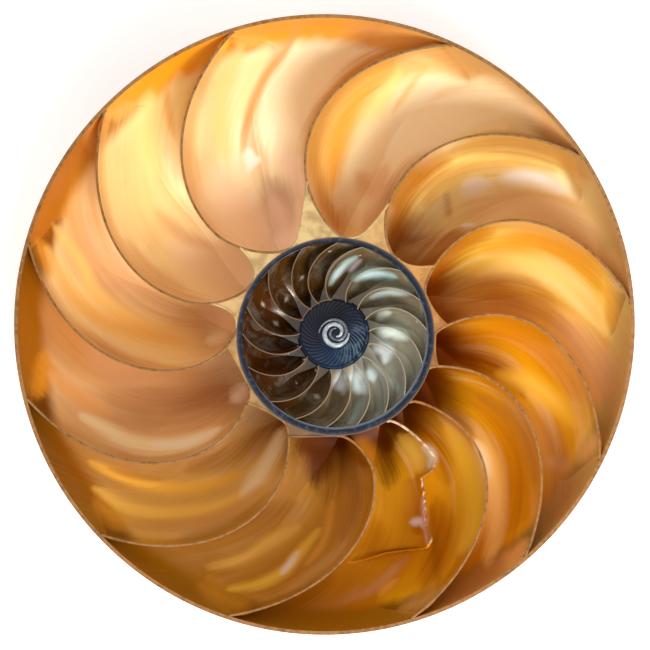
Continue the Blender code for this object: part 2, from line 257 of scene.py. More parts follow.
def smooth(value, low, high):
    value = min(1.0, max(0.0, (value - low) / (high - low)))
    return value * value * (3 - 2 * value)


def bowl(top, bottom, depth, down):
    """A point on a sheet that starts straight down at the sawn face and flares to the floor."""
    turn = BOWL_ANGLE * down
    over = (1 - math.cos(turn)) / (1 - math.cos(BOWL_ANGLE))
    flat = top + (bottom - top) * over
    fall = depth * math.sin(turn) / math.sin(BOWL_ANGLE) + BURIED * smooth(down, 0.75, 1.0)
    return Vector((flat.x, flat.y, DEPTH - fall))


def sheet_point(whorl, share, angle, down):
    """A point of a septum's sheet, and a little past the floor where down is over 1."""
    end = whorl.below(share, angle)
    point = bowl(whorl.point(share, angle), end, whorl.floor(end.x, end.y), down)
    held = smooth(share, WALL_REACH, 0.99) * smooth(down, 0.0, 0.3)
    if whorl is OUTER and held > 0:
        level = min(1.0, (DEPTH - point.z) / (DEPTH - WALL / 2))
        reach = OUTER_RADIUS - WALL / 2 - CREST_RADIUS
        radius = CREST_RADIUS + reach * math.sqrt(1 - level * level)
        flat = point.xy.lerp(point.xy.normalized() * radius, held)
        point = Vector((flat.x, flat.y, point.z))
    return point


def nearest_turn(septum, following):
    """The following septum, moved by whole turns to lie just clockwise of this one."""
    shift = 2 * math.pi * math.ceil((following.belly - septum.belly) / (2 * math.pi))
    if shift:
        moved = copy.copy(following)
        moved.rim, moved.belly, moved.foot = (
            a - shift for a in (following.rim, following.belly, following.foot))
        return moved
    return following


def outer_pairs():
    """Each outer septum's name, the septum, and the next one clockwise."""
    septa = {n: Septum(OUTER, *values, BELLY_AT) for n, values in SEPTA.items()}
    names = list(SEPTA)
    for index, name in enumerate(names):
        following = septa[names[(index + 1) % len(names)]]
        yield name, septa[name], nearest_turn(septa[name], following)


# Mesh helpers

def new_piece(name, bm, materials, weld=True):
    """A smooth-shaded object from a bmesh, with its doubles merged where it is welded."""
    if weld:
        bmesh.ops.remove_doubles(bm, verts=bm.verts, dist=1e-6)
    mesh = bpy.data.meshes.new(name)
    for face in bm.faces:
        face.smooth = True
    bm.to_mesh(mesh)
    bm.free()
    for material in materials:
        mesh.materials.append(material)
    made = bpy.data.objects.new(name, mesh)
    bpy.context.scene.collection.objects.link(made)
    return made


def settle(piece):
    """The piece rides with the shell and stands for its solid."""
    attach(piece, "root")
    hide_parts("shell_half")


def add_block(bm, counts, move):
    """A cube cut into counts cells a side, with each point moved from (across, along, down)."""
    made = bmesh.ops.create_cube(bm, size=1.0, matrix=Matrix.Translation((0.5, 0.5, 0.5)))
    verts = set(made["verts"])
    for axis, count in enumerate(counts):
        normal = Vector([float(axis == n) for n in range(3)])
        for cut in range(1, count):
            geometry = list(verts)
            geometry += list({e for v in verts for e in v.link_edges})
            geometry += list({f for v in verts for f in v.link_faces})
            result = bmesh.ops.bisect_plane(bm, geom=geometry, dist=1e-7,
                                            plane_co=normal * (cut / count), plane_no=normal)
            verts |= {g for g in result["geom"] if isinstance(g, bmesh.types.BMVert)}
    for vert in verts:
        vert.co = move(*vert.co)
    return verts


def add_grid(bm, along_steps, down_steps, move):
    """A flat grid moved point by point from (along, down), each 0 to 1."""
    made = bmesh.ops.create_grid(bm, x_segments=along_steps, y_segments=down_steps, size=0.5,
                                 matrix=Matrix.Translation((0.5, 0.5, 0.0)))
    for vert in made["verts"]:
        vert.co = move(min(1.0, max(0.0, vert.co.x)), min(1.0, max(0.0, vert.co.y)))
    return made["verts"]


def thicken(piece, thickness):
    """Gives a sheet its thickness to both sides, its edge in the next material."""
    solid = piece.modifiers.new("sheet", "SOLIDIFY")
    solid.thickness = thickness
    solid.offset = 0.0
    solid.material_offset_rim = 1


GRAIN_BEND = math.radians(31)
GRAIN_BEND_FROM = 0.25
GRAIN_BEND_POWER = 1.8
CREASE_WIDTH = 2.2 * MM
CREASE_POINTS = 120


def grain_at(x, y):
    """A vector that stays the same along the growth lines, and turns slowly outwards."""
    share, angle = OUTER.place(x, y)
    share = min(1.05, max(0.0, share))
    bent = max(0.0, (share - GRAIN_BEND_FROM) / (1 - GRAIN_BEND_FROM)) ** GRAIN_BEND_POWER
    turned = angle + GRAIN_BEND * bent
    return Vector((math.cos(turned), math.sin(turned), share))


def crease_tree():
    """Points along every line where a septum's sheet meets the outer wall."""
    points = []
    for _, septum, _ in outer_pairs():
        for n in range(CREASE_POINTS + 1):
            points.append(OUTER.below(*septum.line(n / CREASE_POINTS)).to_3d())
    tree = KDTree(len(points))
    for index, point in enumerate(points):
        tree.insert(point, index)
    tree.balance()
    return tree


# Lights and shades of the nacre, laid on like brush strokes, each over the ones before:
# half width, strength, colour, and the points that it runs through, in a view 650 across
# straight from above
STROKE_SPREAD = 1.4
STROKE_TAPER = 0.3
BARE_TINT = (222, 170, 90)
STROKES = (
    # Rim band, from the upper right anticlockwise to the lower right
    (13, 0.9, (206, 156, 90), (455, 50, 490, 68, 530, 97, 566, 134, 590, 165)),
    (11, 0.9, (214, 150, 84), (345, 27, 385, 34, 425, 44)),
    (12, 0.9, (226, 150, 50), (238, 32, 265, 26, 300, 23, 345, 26)),
    (13, 0.9, (234, 166, 26), (112, 104, 130, 88, 160, 70, 190, 54, 222, 42)),
    (14, 0.8, (190, 116, 44), (100, 124, 82, 142, 62, 172, 48, 200)),
    (14, 0.8, (190, 108, 12), (50, 196, 38, 222, 32, 240)),
    (17, 0.8, (166, 98, 4), (26, 262, 24, 300, 28, 350, 34, 395)),
    (20, 0.5, (142, 78, 0), (44, 430, 66, 476, 104, 526)),
    (18, 0.5, (150, 90, 0), (120, 552, 170, 590, 230, 612, 250, 618)),
    (16, 0.5, (164, 102, 4), (250, 620, 310, 628, 370, 626, 410, 616)),
    (16, 0.8, (206, 156, 76), (440, 604, 480, 584, 524, 552)),
    (15, 0.8, (206, 156, 84), (540, 538, 572, 502, 596, 462)),
    (15, 0.8, (204, 164, 96), (606, 438, 622, 396, 630, 340, 630, 310)),
    (12, 0.7, (204, 164, 104), (628, 290, 620, 250, 604, 205, 586, 168)),
    # Painted light in the corners where a septum meets the rim, as if lit from behind through the
    # wall
    (9, 0.8, (206, 158, 98), (576, 160, 580, 178, 582, 196)),
    (9, 0.8, (222, 160, 62), (610, 282, 612, 306, 612, 330)),
    (7, 0.8, (240, 176, 84), (232, 40, 250, 42, 268, 42)),
    (9, 0.8, (240, 178, 84), (104, 116, 118, 112, 134, 104)),
    (9, 0.8, (226, 150, 50), (38, 240, 44, 256, 50, 276)),
    (12, 0.9, (250, 190, 70), (226, 36, 212, 52, 196, 66)),
    (12, 0.9, (236, 166, 80), (100, 112, 96, 130, 92, 150)),
    (12, 0.9, (250, 205, 140), (530, 108, 552, 124, 578, 148)),
    (12, 0.9, (246, 190, 104), (372, 42, 404, 40, 440, 42)),
    (11, 0.9, (240, 196, 130), (604, 250, 618, 270, 628, 292)),
    (11, 0.9, (240, 180, 100), (578, 462, 592, 448, 602, 432)),
    (10, 0.9, (236, 176, 100), (500, 566, 515, 556, 528, 540)),
    (10, 0.8, (220, 160, 80), (400, 610, 424, 602, 444, 588)),
    (12, 0.9, (214, 146, 40), (98, 494, 108, 512, 124, 530)),
    (12, 0.9, (206, 140, 36), (200, 584, 222, 598, 250, 606)),
    (11, 0.9, (216, 140, 36), (44, 352, 42, 380, 36, 398)),
    # The bowl at the left of the top, the widest of the pale ones
    (34, 0.7, (250, 214, 138), (165, 105, 134, 150, 146, 205, 186, 248)),
    (15, 0.8, (255, 236, 168), (180, 76, 186, 108, 196, 150)),
    (12, 0.7, (255, 230, 150), (150, 92, 146, 130, 152, 180)),
    (8, 0.9, (255, 224, 152), (107, 148, 110, 182, 119, 214, 136, 242)),
    (5, 0.7, (232, 186, 96), (166, 82, 168, 110, 176, 142)),
    (28, 0.9, (255, 228, 196), (172, 246, 208, 266, 240, 282)),
    (8, 0.7, (224, 176, 122), (156, 212, 184, 236, 216, 248)),
    (8, 0.7, (236, 180, 110), (122, 240, 146, 268, 184, 290)),
    # The bowl at the top
    (9, 0.8, (226, 176, 106), (222, 50, 196, 90, 187, 140, 194, 184, 214, 220, 244, 250)),
    (15, 0.9, (242, 210, 132), (240, 48, 224, 86, 220, 128, 226, 160)),
    (11, 0.8, (246, 220, 156), (268, 44, 250, 78, 238, 118)),
    (22, 0.9, (244, 224, 182), (318, 44, 294, 82, 282, 120, 288, 150)),
    (14, 0.7, (250, 230, 184), (352, 50, 322, 78, 304, 110)),
    (26, 0.9, (255, 226, 190), (214, 172, 230, 208, 258, 236)),
    (14, 0.8, (252, 222, 200), (284, 156, 300, 184, 304, 222)),
    (6, 0.9, (226, 152, 86), (297, 26, 286, 50, 266, 76, 252, 104, 245, 128, 243, 152)),
    (19, 1.0, (204, 172, 144), (266, 180, 278, 196, 282, 216, 276, 232)),
    (8, 0.8, (250, 226, 198), (251, 190, 255, 216, 268, 238)),
    (6, 0.8, (255, 228, 206), (298, 200, 300, 222, 292, 242)),
    (6, 1.0, (255, 252, 238), (247, 148, 250, 160, 248, 172)),
    (4, 1.0, (255, 252, 238), (251, 156, 257, 160, 251, 165)),
    # The bowl at the right of the top
    (11, 0.9, (206, 146, 60), (424, 48, 372, 60, 332, 98, 313, 140, 318, 190, 336, 226)),
    (14, 0.8, (242, 168, 54), (392, 64, 356, 96, 336, 140, 330, 186)),
    (9, 0.8, (255, 232, 140), (400, 70, 380, 104, 364, 138, 350, 166)),
    (11, 0.9, (255, 244, 200), (376, 118, 360, 152, 344, 198)),
    (32, 0.9, (255, 240, 204), (476, 92, 440, 116, 408, 142, 392, 164)),
    (20, 0.8, (255, 236, 192), (404, 100, 376, 160, 358, 222)),
    (17, 0.8, (255, 232, 186), (474, 80, 506, 102, 538, 126)),
    (7, 0.8, (255, 242, 210), (446, 78, 418, 104, 398, 132, 388, 160)),
    (6, 0.7, (255, 240, 206), (512, 108, 458, 128, 422, 148)),
    (12, 0.8, (236, 192, 122), (398, 60, 430, 60, 462, 76)),
    (9, 0.8, (212, 160, 92), (420, 47, 446, 55, 474, 78)),
    (4, 0.7, (242, 192, 104), (428, 62, 406, 92, 392, 112)),
    (13, 0.8, (232, 184, 130), (358, 174, 373, 190, 386, 168)),
    (10, 0.7, (255, 234, 190), (336, 208, 346, 186)),
    # The upper right bowl
    (17, 0.9, (188, 112, 4), (394, 236, 396, 206, 416, 176, 450, 155)),
    (12, 0.9, (190, 134, 60), (452, 150, 500, 143, 550, 152, 588, 176)),
    (10, 0.7, (228, 172, 84), (424, 204, 440, 180, 474, 166, 516, 162, 556, 170)),
    (24, 0.8, (240, 200, 148), (466, 208, 520, 206, 562, 216, 596, 246)),
    (10, 1.0, (255, 244, 224), (462, 192, 474, 186, 488, 184)),
    (10, 1.0, (255, 240, 214), (500, 178, 524, 177, 546, 181, 566, 191)),
    (5, 1.0, (255, 250, 236), (506, 177, 530, 176, 550, 181)),
    (9, 0.5, (172, 104, 22), (398, 238, 420, 242, 446, 238, 462, 234)),
    (5, 0.7, (206, 160, 112), (446, 192, 449, 218)),
    (3, 1.0, (255, 246, 230), (460, 226, 477, 225)),
    # The right bowl
    (15, 0.9, (184, 106, 2), (434, 298, 436, 270, 456, 245, 492, 231)),
    (16, 0.8, (226, 150, 32), (484, 248, 530, 240, 576, 256, 604, 288)),
    (11, 1.0, (255, 220, 124), (478, 276, 502, 267, 532, 268, 562, 284, 592, 314, 608, 336)),
    (5, 0.9, (255, 226, 142), (520, 268, 556, 283, 582, 307, 602, 330)),
    (9, 0.5, (188, 116, 24), (448, 291, 490, 283, 526, 284, 554, 300)),
    (14, 0.8, (198, 132, 44), (452, 306, 500, 300, 542, 312, 568, 334)),
    (22, 0.8, (212, 160, 110), (560, 324, 594, 362, 614, 402)),
    # The bowl under it
    (22, 0.8, (224, 136, 4), (462, 336, 504, 330, 548, 355, 582, 396)),
    (11, 0.8, (168, 88, 2), (444, 356, 480, 360, 504, 372, 524, 396)),
    (12, 1.0, (255, 200, 60), (498, 373, 526, 381, 553, 399, 578, 426)),
    (4, 0.9, (255, 204, 80), (512, 377, 541, 388, 567, 412)),
    (20, 0.5, (190, 130, 78), (524, 408, 550, 444, 562, 482, 552, 522)),
    (8, 0.8, (214, 162, 100), (544, 461, 572, 467)),
    # The lower right bowls
    (14, 0.56, (150, 76, 0), (424, 384, 442, 392, 454, 412, 472, 432)),
    (20, 0.8, (200, 124, 8), (462, 386, 492, 410, 516, 452, 520, 500, 506, 548)),
    (9, 0.5, (182, 116, 52), (480, 396, 511, 414, 529, 446, 536, 482)),
    (11, 1.0, (255, 212, 124), (476, 441, 488, 458, 496, 490, 496, 528, 487, 566)),
    (5, 1.0, (255, 232, 186), (476, 441, 484, 456, 491, 478)),
    (14, 0.8, (190, 132, 76), (502, 560, 478, 586, 450, 606)),
    (15, 0.56, (148, 72, 2), (402, 412, 426, 426, 441, 452, 448, 482)),
    (12, 1.0, (255, 200, 56), (448, 426, 465, 457, 474, 490, 473, 525, 462, 552)),
    (14, 0.8, (196, 120, 4), (438, 500, 444, 542, 424, 592)),
    # The broken septum and the bowls beside it
    (14, 0.7, (96, 40, 0), (378, 440, 388, 462, 390, 486)),
    (10, 0.7, (88, 34, 0), (366, 436, 374, 456)),
    (11, 1.0, (255, 204, 84), (402, 436, 414, 450, 422, 470)),
    (8, 0.8, (228, 156, 42), (408, 480, 410, 518)),
    (18, 0.7, (192, 118, 12), (372, 520, 376, 560)),
    (6, 0.8, (202, 142, 84), (345, 602, 378, 585, 410, 556)),
    (5, 0.9, (242, 168, 64), (378, 596, 397, 580)),
    (5, 1.0, (255, 240, 232), (411, 523, 425, 521)),
    (4, 1.0, (255, 236, 226), (424, 517, 425, 529)),
    (3, 1.0, (236, 176, 144), (423, 498, 428, 544)),
    (6, 0.9, (240, 236, 208), (424, 444, 433, 456, 430, 468)),
    (4, 0.8, (172, 102, 8), (350, 561, 386, 553, 430, 548)),
    # Painted shade at the feet of the bowls at the lower right
    (13, 1.0, (96, 46, 2), (350, 440, 372, 444, 392, 436)),
    (11, 1.0, (104, 50, 2), (364, 448, 374, 464)),
    (10, 1.0, (140, 70, 4), (424, 380, 430, 396, 440, 410)),
    (9, 1.0, (160, 84, 4), (438, 336, 446, 350, 458, 358)),
    # Shades to both sides of the broken septum
    (6, 0.5, (168, 98, 4), (432, 506, 440, 592)),
    (16, 0.5, (128, 68, 8), (316, 450, 330, 470, 326, 500)),
    (9, 0.5, (168, 108, 54), (350, 466, 357, 502, 342, 542)),
    (5, 1.0, (234, 166, 66), (334, 500, 325, 540, 306, 566)),
    # The lower bowls
    (16, 0.5, (134, 74, 0), (182, 543, 244, 522, 296, 506)),
    (9, 0.9, (234, 184, 90), (208, 567, 244, 559, 272, 542, 300, 528)),
    (7, 1.0, (255, 206, 76), (228, 590, 258, 585, 284, 572, 300, 554, 320, 530)),
    (4, 1.0, (255, 242, 226), (281, 575, 289, 566, 299, 552)),
    (16, 1.0, (100, 46, 8), (300, 444, 318, 452, 316, 484)),
    (13, 1.0, (86, 34, 2), (316, 434, 330, 440, 342, 436)),
    (14, 1.0, (96, 42, 2), (302, 436, 316, 440, 322, 462)),
    (10, 1.0, (92, 38, 4), (372, 436, 384, 440, 392, 450)),
    (12, 0.5, (142, 86, 0), (246, 610, 298, 600, 334, 576)),
    (13, 0.56, (150, 84, 0), (186, 470, 230, 456, 264, 430)),
    (10, 0.5, (152, 82, 0), (58, 440, 86, 478, 110, 508)),
    (8, 0.9, (248, 190, 74), (90, 462, 130, 480, 172, 489, 212, 484, 242, 474)),
    (4, 0.5, (166, 98, 12), (108, 468, 134, 476, 164, 480)),
    (8, 1.0, (255, 206, 96), (94, 488, 120, 505, 152, 513, 186, 513, 218, 507, 246, 495)),
    (10, 1.0, (255, 236, 190), (284, 430, 274, 452, 258, 478, 242, 498)),
    (4, 1.0, (255, 240, 206), (282, 432, 272, 455, 260, 474)),
    (9, 0.8, (214, 158, 84), (128, 526, 182, 527, 228, 514, 264, 488)),
    (12, 0.8, (184, 112, 8), (352, 442, 366, 452, 374, 466)),
    # The left bowls
    (14, 0.8, (250, 208, 160), (204, 308, 222, 318, 232, 332)),
    (15, 0.8, (250, 214, 178), (212, 246, 232, 262, 244, 280)),
    (12, 0.7, (248, 220, 196), (272, 196, 284, 224, 286, 242)),
    (12, 0.7, (226, 180, 132), (366, 226, 380, 212, 386, 200)),
    (26, 0.8, (190, 138, 92), (90, 345, 130, 384, 180, 398, 232, 394)),
    (12, 0.8, (236, 172, 100), (50, 374, 80, 400, 112, 417)),
    (9, 1.0, (255, 238, 188), (80, 416, 102, 428, 132, 442, 168, 446, 198, 440, 220, 429)),
    (5, 1.0, (255, 246, 216), (150, 445, 184, 444, 218, 430)),
    (9, 1.0, (255, 240, 224), (232, 402, 248, 386)),
    (26, 0.8, (208, 160, 112), (78, 214, 97, 262, 143, 292, 212, 318)),
    (8, 0.9, (250, 206, 118), (54, 226, 80, 262, 95, 293, 128, 318, 178, 331)),
    (10, 0.9, (248, 194, 102), (46, 248, 68, 292, 102, 321, 146, 335, 186, 344)),
    (8, 1.0, (255, 238, 206), (206, 343, 228, 335)),
)
# The same inside the ring: glints along the right of each small chamber
INNER_STROKES = (
    (4.3, 1.0, (212, 242, 230), (329, 285, 341, 268, 358, 256)),
    (3.6, 1.0, (242, 222, 222), (347, 271, 362, 259)),
    (5.8, 1.0, (206, 240, 238), (352, 279, 370, 273, 396, 277)),
    (4.3, 1.0, (212, 226, 220), (370, 298, 390, 292, 412, 293)),
    (4.3, 1.0, (236, 240, 228), (376, 319, 391, 312)),
    (7.2, 1.0, (240, 255, 244), (375, 338, 391, 331, 408, 338)),
    (7.2, 1.0, (248, 255, 255), (371, 351, 388, 348, 384, 362)),
    (5.8, 1.0, (242, 254, 252), (369, 368, 374, 381)),
    (7.2, 1.0, (238, 255, 254), (355, 366, 358, 384, 366, 393)),
    (8.7, 1.0, (246, 252, 252), (340, 372, 343, 392)),
    (5.8, 1.0, (166, 180, 168), (366, 396, 358, 412, 348, 422)),
    (4.3, 1.0, (176, 186, 176), (392, 378, 398, 392)),
    (3.6, 1.0, (230, 224, 216), (301, 277, 302, 278)),
    (3.6, 1.0, (206, 202, 196), (285, 299, 287, 300)),
    (4.3, 1.0, (212, 206, 192), (275, 325, 277, 323)),
    (3.6, 1.0, (206, 196, 186), (262, 305, 264, 304)),
    (4.3, 1.0, (222, 212, 204), (318, 395, 316, 398)),
    (3, 1.0, (255, 255, 250), (382, 336, 396, 333)),
    (3, 1.0, (255, 255, 255), (380, 350, 386, 353)),
    (3, 1.0, (255, 255, 255), (356, 372, 359, 382)),
    (3.5, 1.0, (255, 255, 255), (341, 376, 343, 388)),
    (3, 1.0, (240, 252, 255), (334, 278, 346, 265)),
    (3, 1.0, (236, 252, 255), (360, 275, 384, 274)),
)


def curve_through(points, steps=6):
    """A smooth line through the points."""
    ends = 2 * points[0] - points[1], 2 * points[-1] - points[-2]
    run = np.vstack((ends[0], points, ends[1]))
    share = (np.arange(steps) / steps)[:, None]
    made = []
    for before, start, end, after in zip(run, run[1:], run[2:], run[3:]):
        bend = 2 * before - 5 * start + 4 * end - after
        twist = 3 * start - before - 3 * end + after
        made.append(start + 0.5 * ((end - before) * share + bend * share ** 2 + twist * share ** 3))
    return np.vstack((*made, points[-1]))


def stroke_cover(view, half_width, points):
    """How fully a stroke covers each place: soft at its sides, narrower towards its ends."""
    line = curve_through(points)
    nearest = np.full(len(view), 1e9)
    along = np.zeros(len(view))
    for index, (start, end) in enumerate(zip(line, line[1:])):
        run = end - start
        share = np.clip((view - start) @ run / (run @ run), 0, 1)
        away = np.linalg.norm(view - start - share[:, None] * run, axis=1)
        along = np.where(away < nearest, (index + share) / (len(line) - 1), along)
        nearest = np.minimum(away, nearest)
    ends = np.clip(np.minimum(along, 1 - along) / STROKE_TAPER, 0, 1) ** 0.5
    reach = STROKE_SPREAD * half_width * (0.4 + 0.6 * ends)
    cover = np.clip(1 - (nearest / reach) ** 2, 0, 1)
    return cover ** 2 * (0.5 + 0.5 * ends)


def write_tint(mesh, strokes):
    """Lays the strokes on a mesh, one over another: a colour, and how fully it covers."""
    count = len(mesh.vertices)
    places = np.empty(count * 3, dtype=np.float32)
    mesh.vertices.foreach_get("co", places)
    places = places.reshape(-1, 3).astype(float)
    near = CAMERA_HEIGHT / (CAMERA_HEIGHT + DEPTH - places[:, 2]) / PHOTO_PIXEL
    view = np.stack(((places[:, 0] - PHOTO_MIDDLE[0]) * near + PHOTO_SIDE / 2,
                     PHOTO_SIDE / 2 - (places[:, 1] - PHOTO_MIDDLE[1]) * near), axis=1)
    paint = np.zeros((count, 4))
    for half_width, strength, colour, flat in strokes:
        points = np.array(flat, dtype=float).reshape(-1, 2)
        margin = STROKE_SPREAD * half_width
        low, high = points.min(axis=0) - margin, points.max(axis=0) + margin
        held = np.flatnonzero(((view > low) & (view < high)).all(axis=1))
        cover = strength * stroke_cover(view[held], half_width, points)[:, None]
        paint[held] = paint[held] * (1 - cover) + np.array(linear(*colour)) * cover
    bare = np.maximum(paint[:, 3:], 1e-4)
    colours = np.where(paint[:, 3:] > 1e-4, paint[:, :3] / bare, np.array(linear(*BARE_TINT)[:3]))
    tint = mesh.attributes.new("tint", "FLOAT_COLOR", "POINT")
    tint.data.foreach_set("color", np.hstack((colours, paint[:, 3:])).astype(np.float32).ravel())


def write_marks(mesh, downs=None, strokes=STROKES):
    """At each point: its growth line and share outwards, how far down its sheet, and its crease."""
    write_tint(mesh, strokes)
    grain = mesh.attributes.new("grain", "FLOAT_VECTOR", "POINT")
    place = mesh.attributes.new("place", "FLOAT_VECTOR", "POINT")
    tree = None if downs else crease_tree()
    for index, vert in enumerate(mesh.vertices):
        grain.data[index].vector = grain_at(vert.co.x, vert.co.y)
        if downs:
            place.data[index].vector = (downs[index], 0.0, smooth(downs[index], 0.86, 1.0))
        else:
            near = tree.find(Vector((vert.co.x, vert.co.y, 0.0)))[2]
            place.data[index].vector = (1.0, 1.0, smooth(near, CREASE_WIDTH, 0.0))


# Materials

class Paint:
    """A material's nodes, added one by one."""

    def __init__(self, name):
        self.material = bpy.data.materials.new(name)
        self.material.use_nodes = True
        self.tree = self.material.node_tree
        self.shader = self.tree.nodes["Principled BSDF"]

    def node(self, kind, inputs=None, **settings):
        made = self.tree.nodes.new("ShaderNode" + kind)
        for name, value in settings.items():
            setattr(made, name, value)
        for name, value in (inputs or {}).items():
            self.feed(made.inputs[name], value)
        return made

    def feed(self, socket, value):
        if isinstance(value, bpy.types.NodeSocket):
            self.tree.links.new(value, socket)
        else:
            socket.default_value = value

    def maths(self, operation, *values):
        return self.node("Math", dict(enumerate(values)), operation=operation).outputs[0]

    def object_point(self):
        return self.node("TexCoord").outputs["Object"]

    def attribute(self, name):
        return self.node("Attribute", attribute_name=name).outputs["Vector"]

    def tint(self, streak, colour):
        """The colour with the strokes, mostly painted light and shade, laid over it, their sides
        feathered by a streak pattern.
        """
        node = self.node("Attribute", attribute_name="tint")
        alpha = node.outputs["Alpha"]
        partly = self.maths("MULTIPLY", alpha, self.maths("SUBTRACT", 1.0, alpha))
        ragged = self.maths("MULTIPLY", self.maths("SUBTRACT", streak, 0.5), 4.5)
        cover = self.maths("MULTIPLY_ADD", ragged, partly, alpha)
        return self.blend(cover, colour, node.outputs["Color"])

    def parts(self, vector):
        return self.node("SeparateXYZ", {0: vector}).outputs

    def scaled(self, vector, scale, location=(0.0, 0.0, 0.0)):
        return self.node("Mapping", {"Vector": vector, "Scale": scale,
                                     "Location": location}).outputs[0]

    def noise(self, vector, scale, detail=3.0, roughness=0.55, distortion=0.0):
        return self.node("TexNoise", {"Vector": vector, "Scale": scale, "Detail": detail,
                                      "Roughness": roughness,
                                      "Distortion": distortion}).outputs["Fac"]

    def between(self, value, low, high, to_low=0.0, to_high=1.0):
        return self.node("MapRange", {"Value": value, "From Min": low, "From Max": high,
                                      "To Min": to_low, "To Max": to_high},
                         interpolation_type="SMOOTHSTEP").outputs[0]

    def ramp(self, value, stops, interpolation="LINEAR"):
        made = self.node("ValToRGB", {0: value})
        made.color_ramp.interpolation = interpolation
        elements = made.color_ramp.elements
        while len(elements) < len(stops):
            elements.new(0.5)
        for element, (position, colour) in zip(elements, stops):
            element.position = position
            element.color = colour
        return made.outputs["Color"]

    def blend(self, share, first, second, mode="MIX"):
        made = self.node("Mix", data_type="RGBA", blend_type=mode)
        self.feed(made.inputs[0], share)
        self.feed(made.inputs[6], first)
        self.feed(made.inputs[7], second)
        return made.outputs[2]

    def bump(self, height, distance, strength=1.0):
        return self.node("Bump", {"Height": height, "Distance": distance,
                                  "Strength": strength}).outputs[0]

    def finish(self, **sockets):
        for name, value in sockets.items():
            self.feed(self.shader.inputs[name.replace("_", " ")], value)
        return self.material


def direction(paint, centre):
    """The angle round a centre, 0 to 1 anticlockwise from +X."""
    x, y, _ = paint.parts(paint.object_point())
    angle = paint.maths("ARCTAN2", paint.maths("SUBTRACT", y, centre[1]),
                        paint.maths("SUBTRACT", x, centre[0]))
    return paint.maths("FRACT", paint.maths("ADD", paint.maths("DIVIDE", angle, 2 * math.pi), 1.0))


def stops(*entries):
    """Colour stops round the shell, from (degrees, red, green, blue), closed on themselves."""
    made = [(entry[0] / 360, linear(*entry[1:])) for entry in entries]
    return [*made, (1.0, made[0][1])]


# Tones of the nacre round the shell: on a septum's sheet from its sawn edge down (edge, glow,
# deep), near its foot and at the rim. They are partly the nacre's own colour and partly painted
# light and shade: paler towards the upper left, darker amber towards the lower right and at the
# feet. The glow is a painted golden reflection on the steep sheets
EDGE_TONES = stops((0, 206, 138, 18), (30, 218, 160, 34), (60, 222, 164, 56), (92, 214, 154, 58),
                   (128, 214, 154, 98), (158, 236, 178, 100), (185, 230, 170, 90),
                   (212, 204, 154, 98), (240, 200, 144, 44), (275, 180, 114, 14),
                   (300, 206, 126, 8), (335, 206, 132, 12))
PAINTED_GLOW_TONES = stops((0, 242, 180, 26), (30, 238, 198, 62), (60, 255, 226, 130), (92, 250, 206, 118),
                   (128, 246, 206, 150), (158, 255, 230, 166), (185, 255, 222, 150),
                   (212, 232, 190, 136), (240, 240, 190, 84), (262, 196, 130, 36),
                   (275, 200, 136, 42), (300, 236, 166, 20), (320, 240, 176, 36),
                   (340, 246, 180, 20))
DEEP_TONES = stops((0, 236, 168, 26), (30, 252, 220, 112), (60, 255, 240, 180), (85, 255, 240, 190),
                   (110, 248, 236, 196), (135, 250, 230, 180), (158, 250, 232, 174),
                   (185, 238, 190, 126), (212, 206, 162, 108), (240, 226, 180, 82),
                   (275, 200, 140, 42), (300, 238, 168, 16), (335, 230, 168, 24))
# On the domed wall itself, between the septa
FLOOR_TONES = stops((0, 230, 170, 56), (20, 248, 204, 112), (40, 252, 220, 128),
                    (60, 252, 230, 164), (85, 254, 238, 192), (115, 248, 236, 194),
                    (158, 255, 228, 166), (180, 222, 166, 96), (195, 190, 132, 70),
                    (212, 190, 140, 84), (240, 190, 140, 62), (275, 164, 108, 26),
                    (300, 200, 126, 8), (335, 220, 154, 26))
FOOT_TONES = stops((0, 160, 84, 6), (30, 156, 94, 12), (60, 186, 130, 56), (78, 250, 214, 150),
                   (92, 226, 176, 122), (110, 252, 234, 216), (135, 238, 214, 190),
                   (158, 246, 222, 188), (185, 226, 190, 144), (212, 196, 160, 116),
                   (240, 150, 100, 32), (262, 84, 36, 6), (300, 92, 40, 2), (335, 140, 68, 4))
RIM_TONES = stops((0, 206, 180, 104), (40, 214, 184, 108), (75, 204, 172, 114),
                  (95, 208, 156, 80), (105, 225, 168, 80), (125, 236, 158, 40),
                  (150, 240, 166, 44), (165, 204, 142, 42), (180, 182, 112, 24),
                  (200, 144, 88, 4), (230, 148, 92, 2), (255, 166, 112, 4), (300, 164, 110, 6),
                  (330, 172, 126, 42), (345, 196, 170, 104))


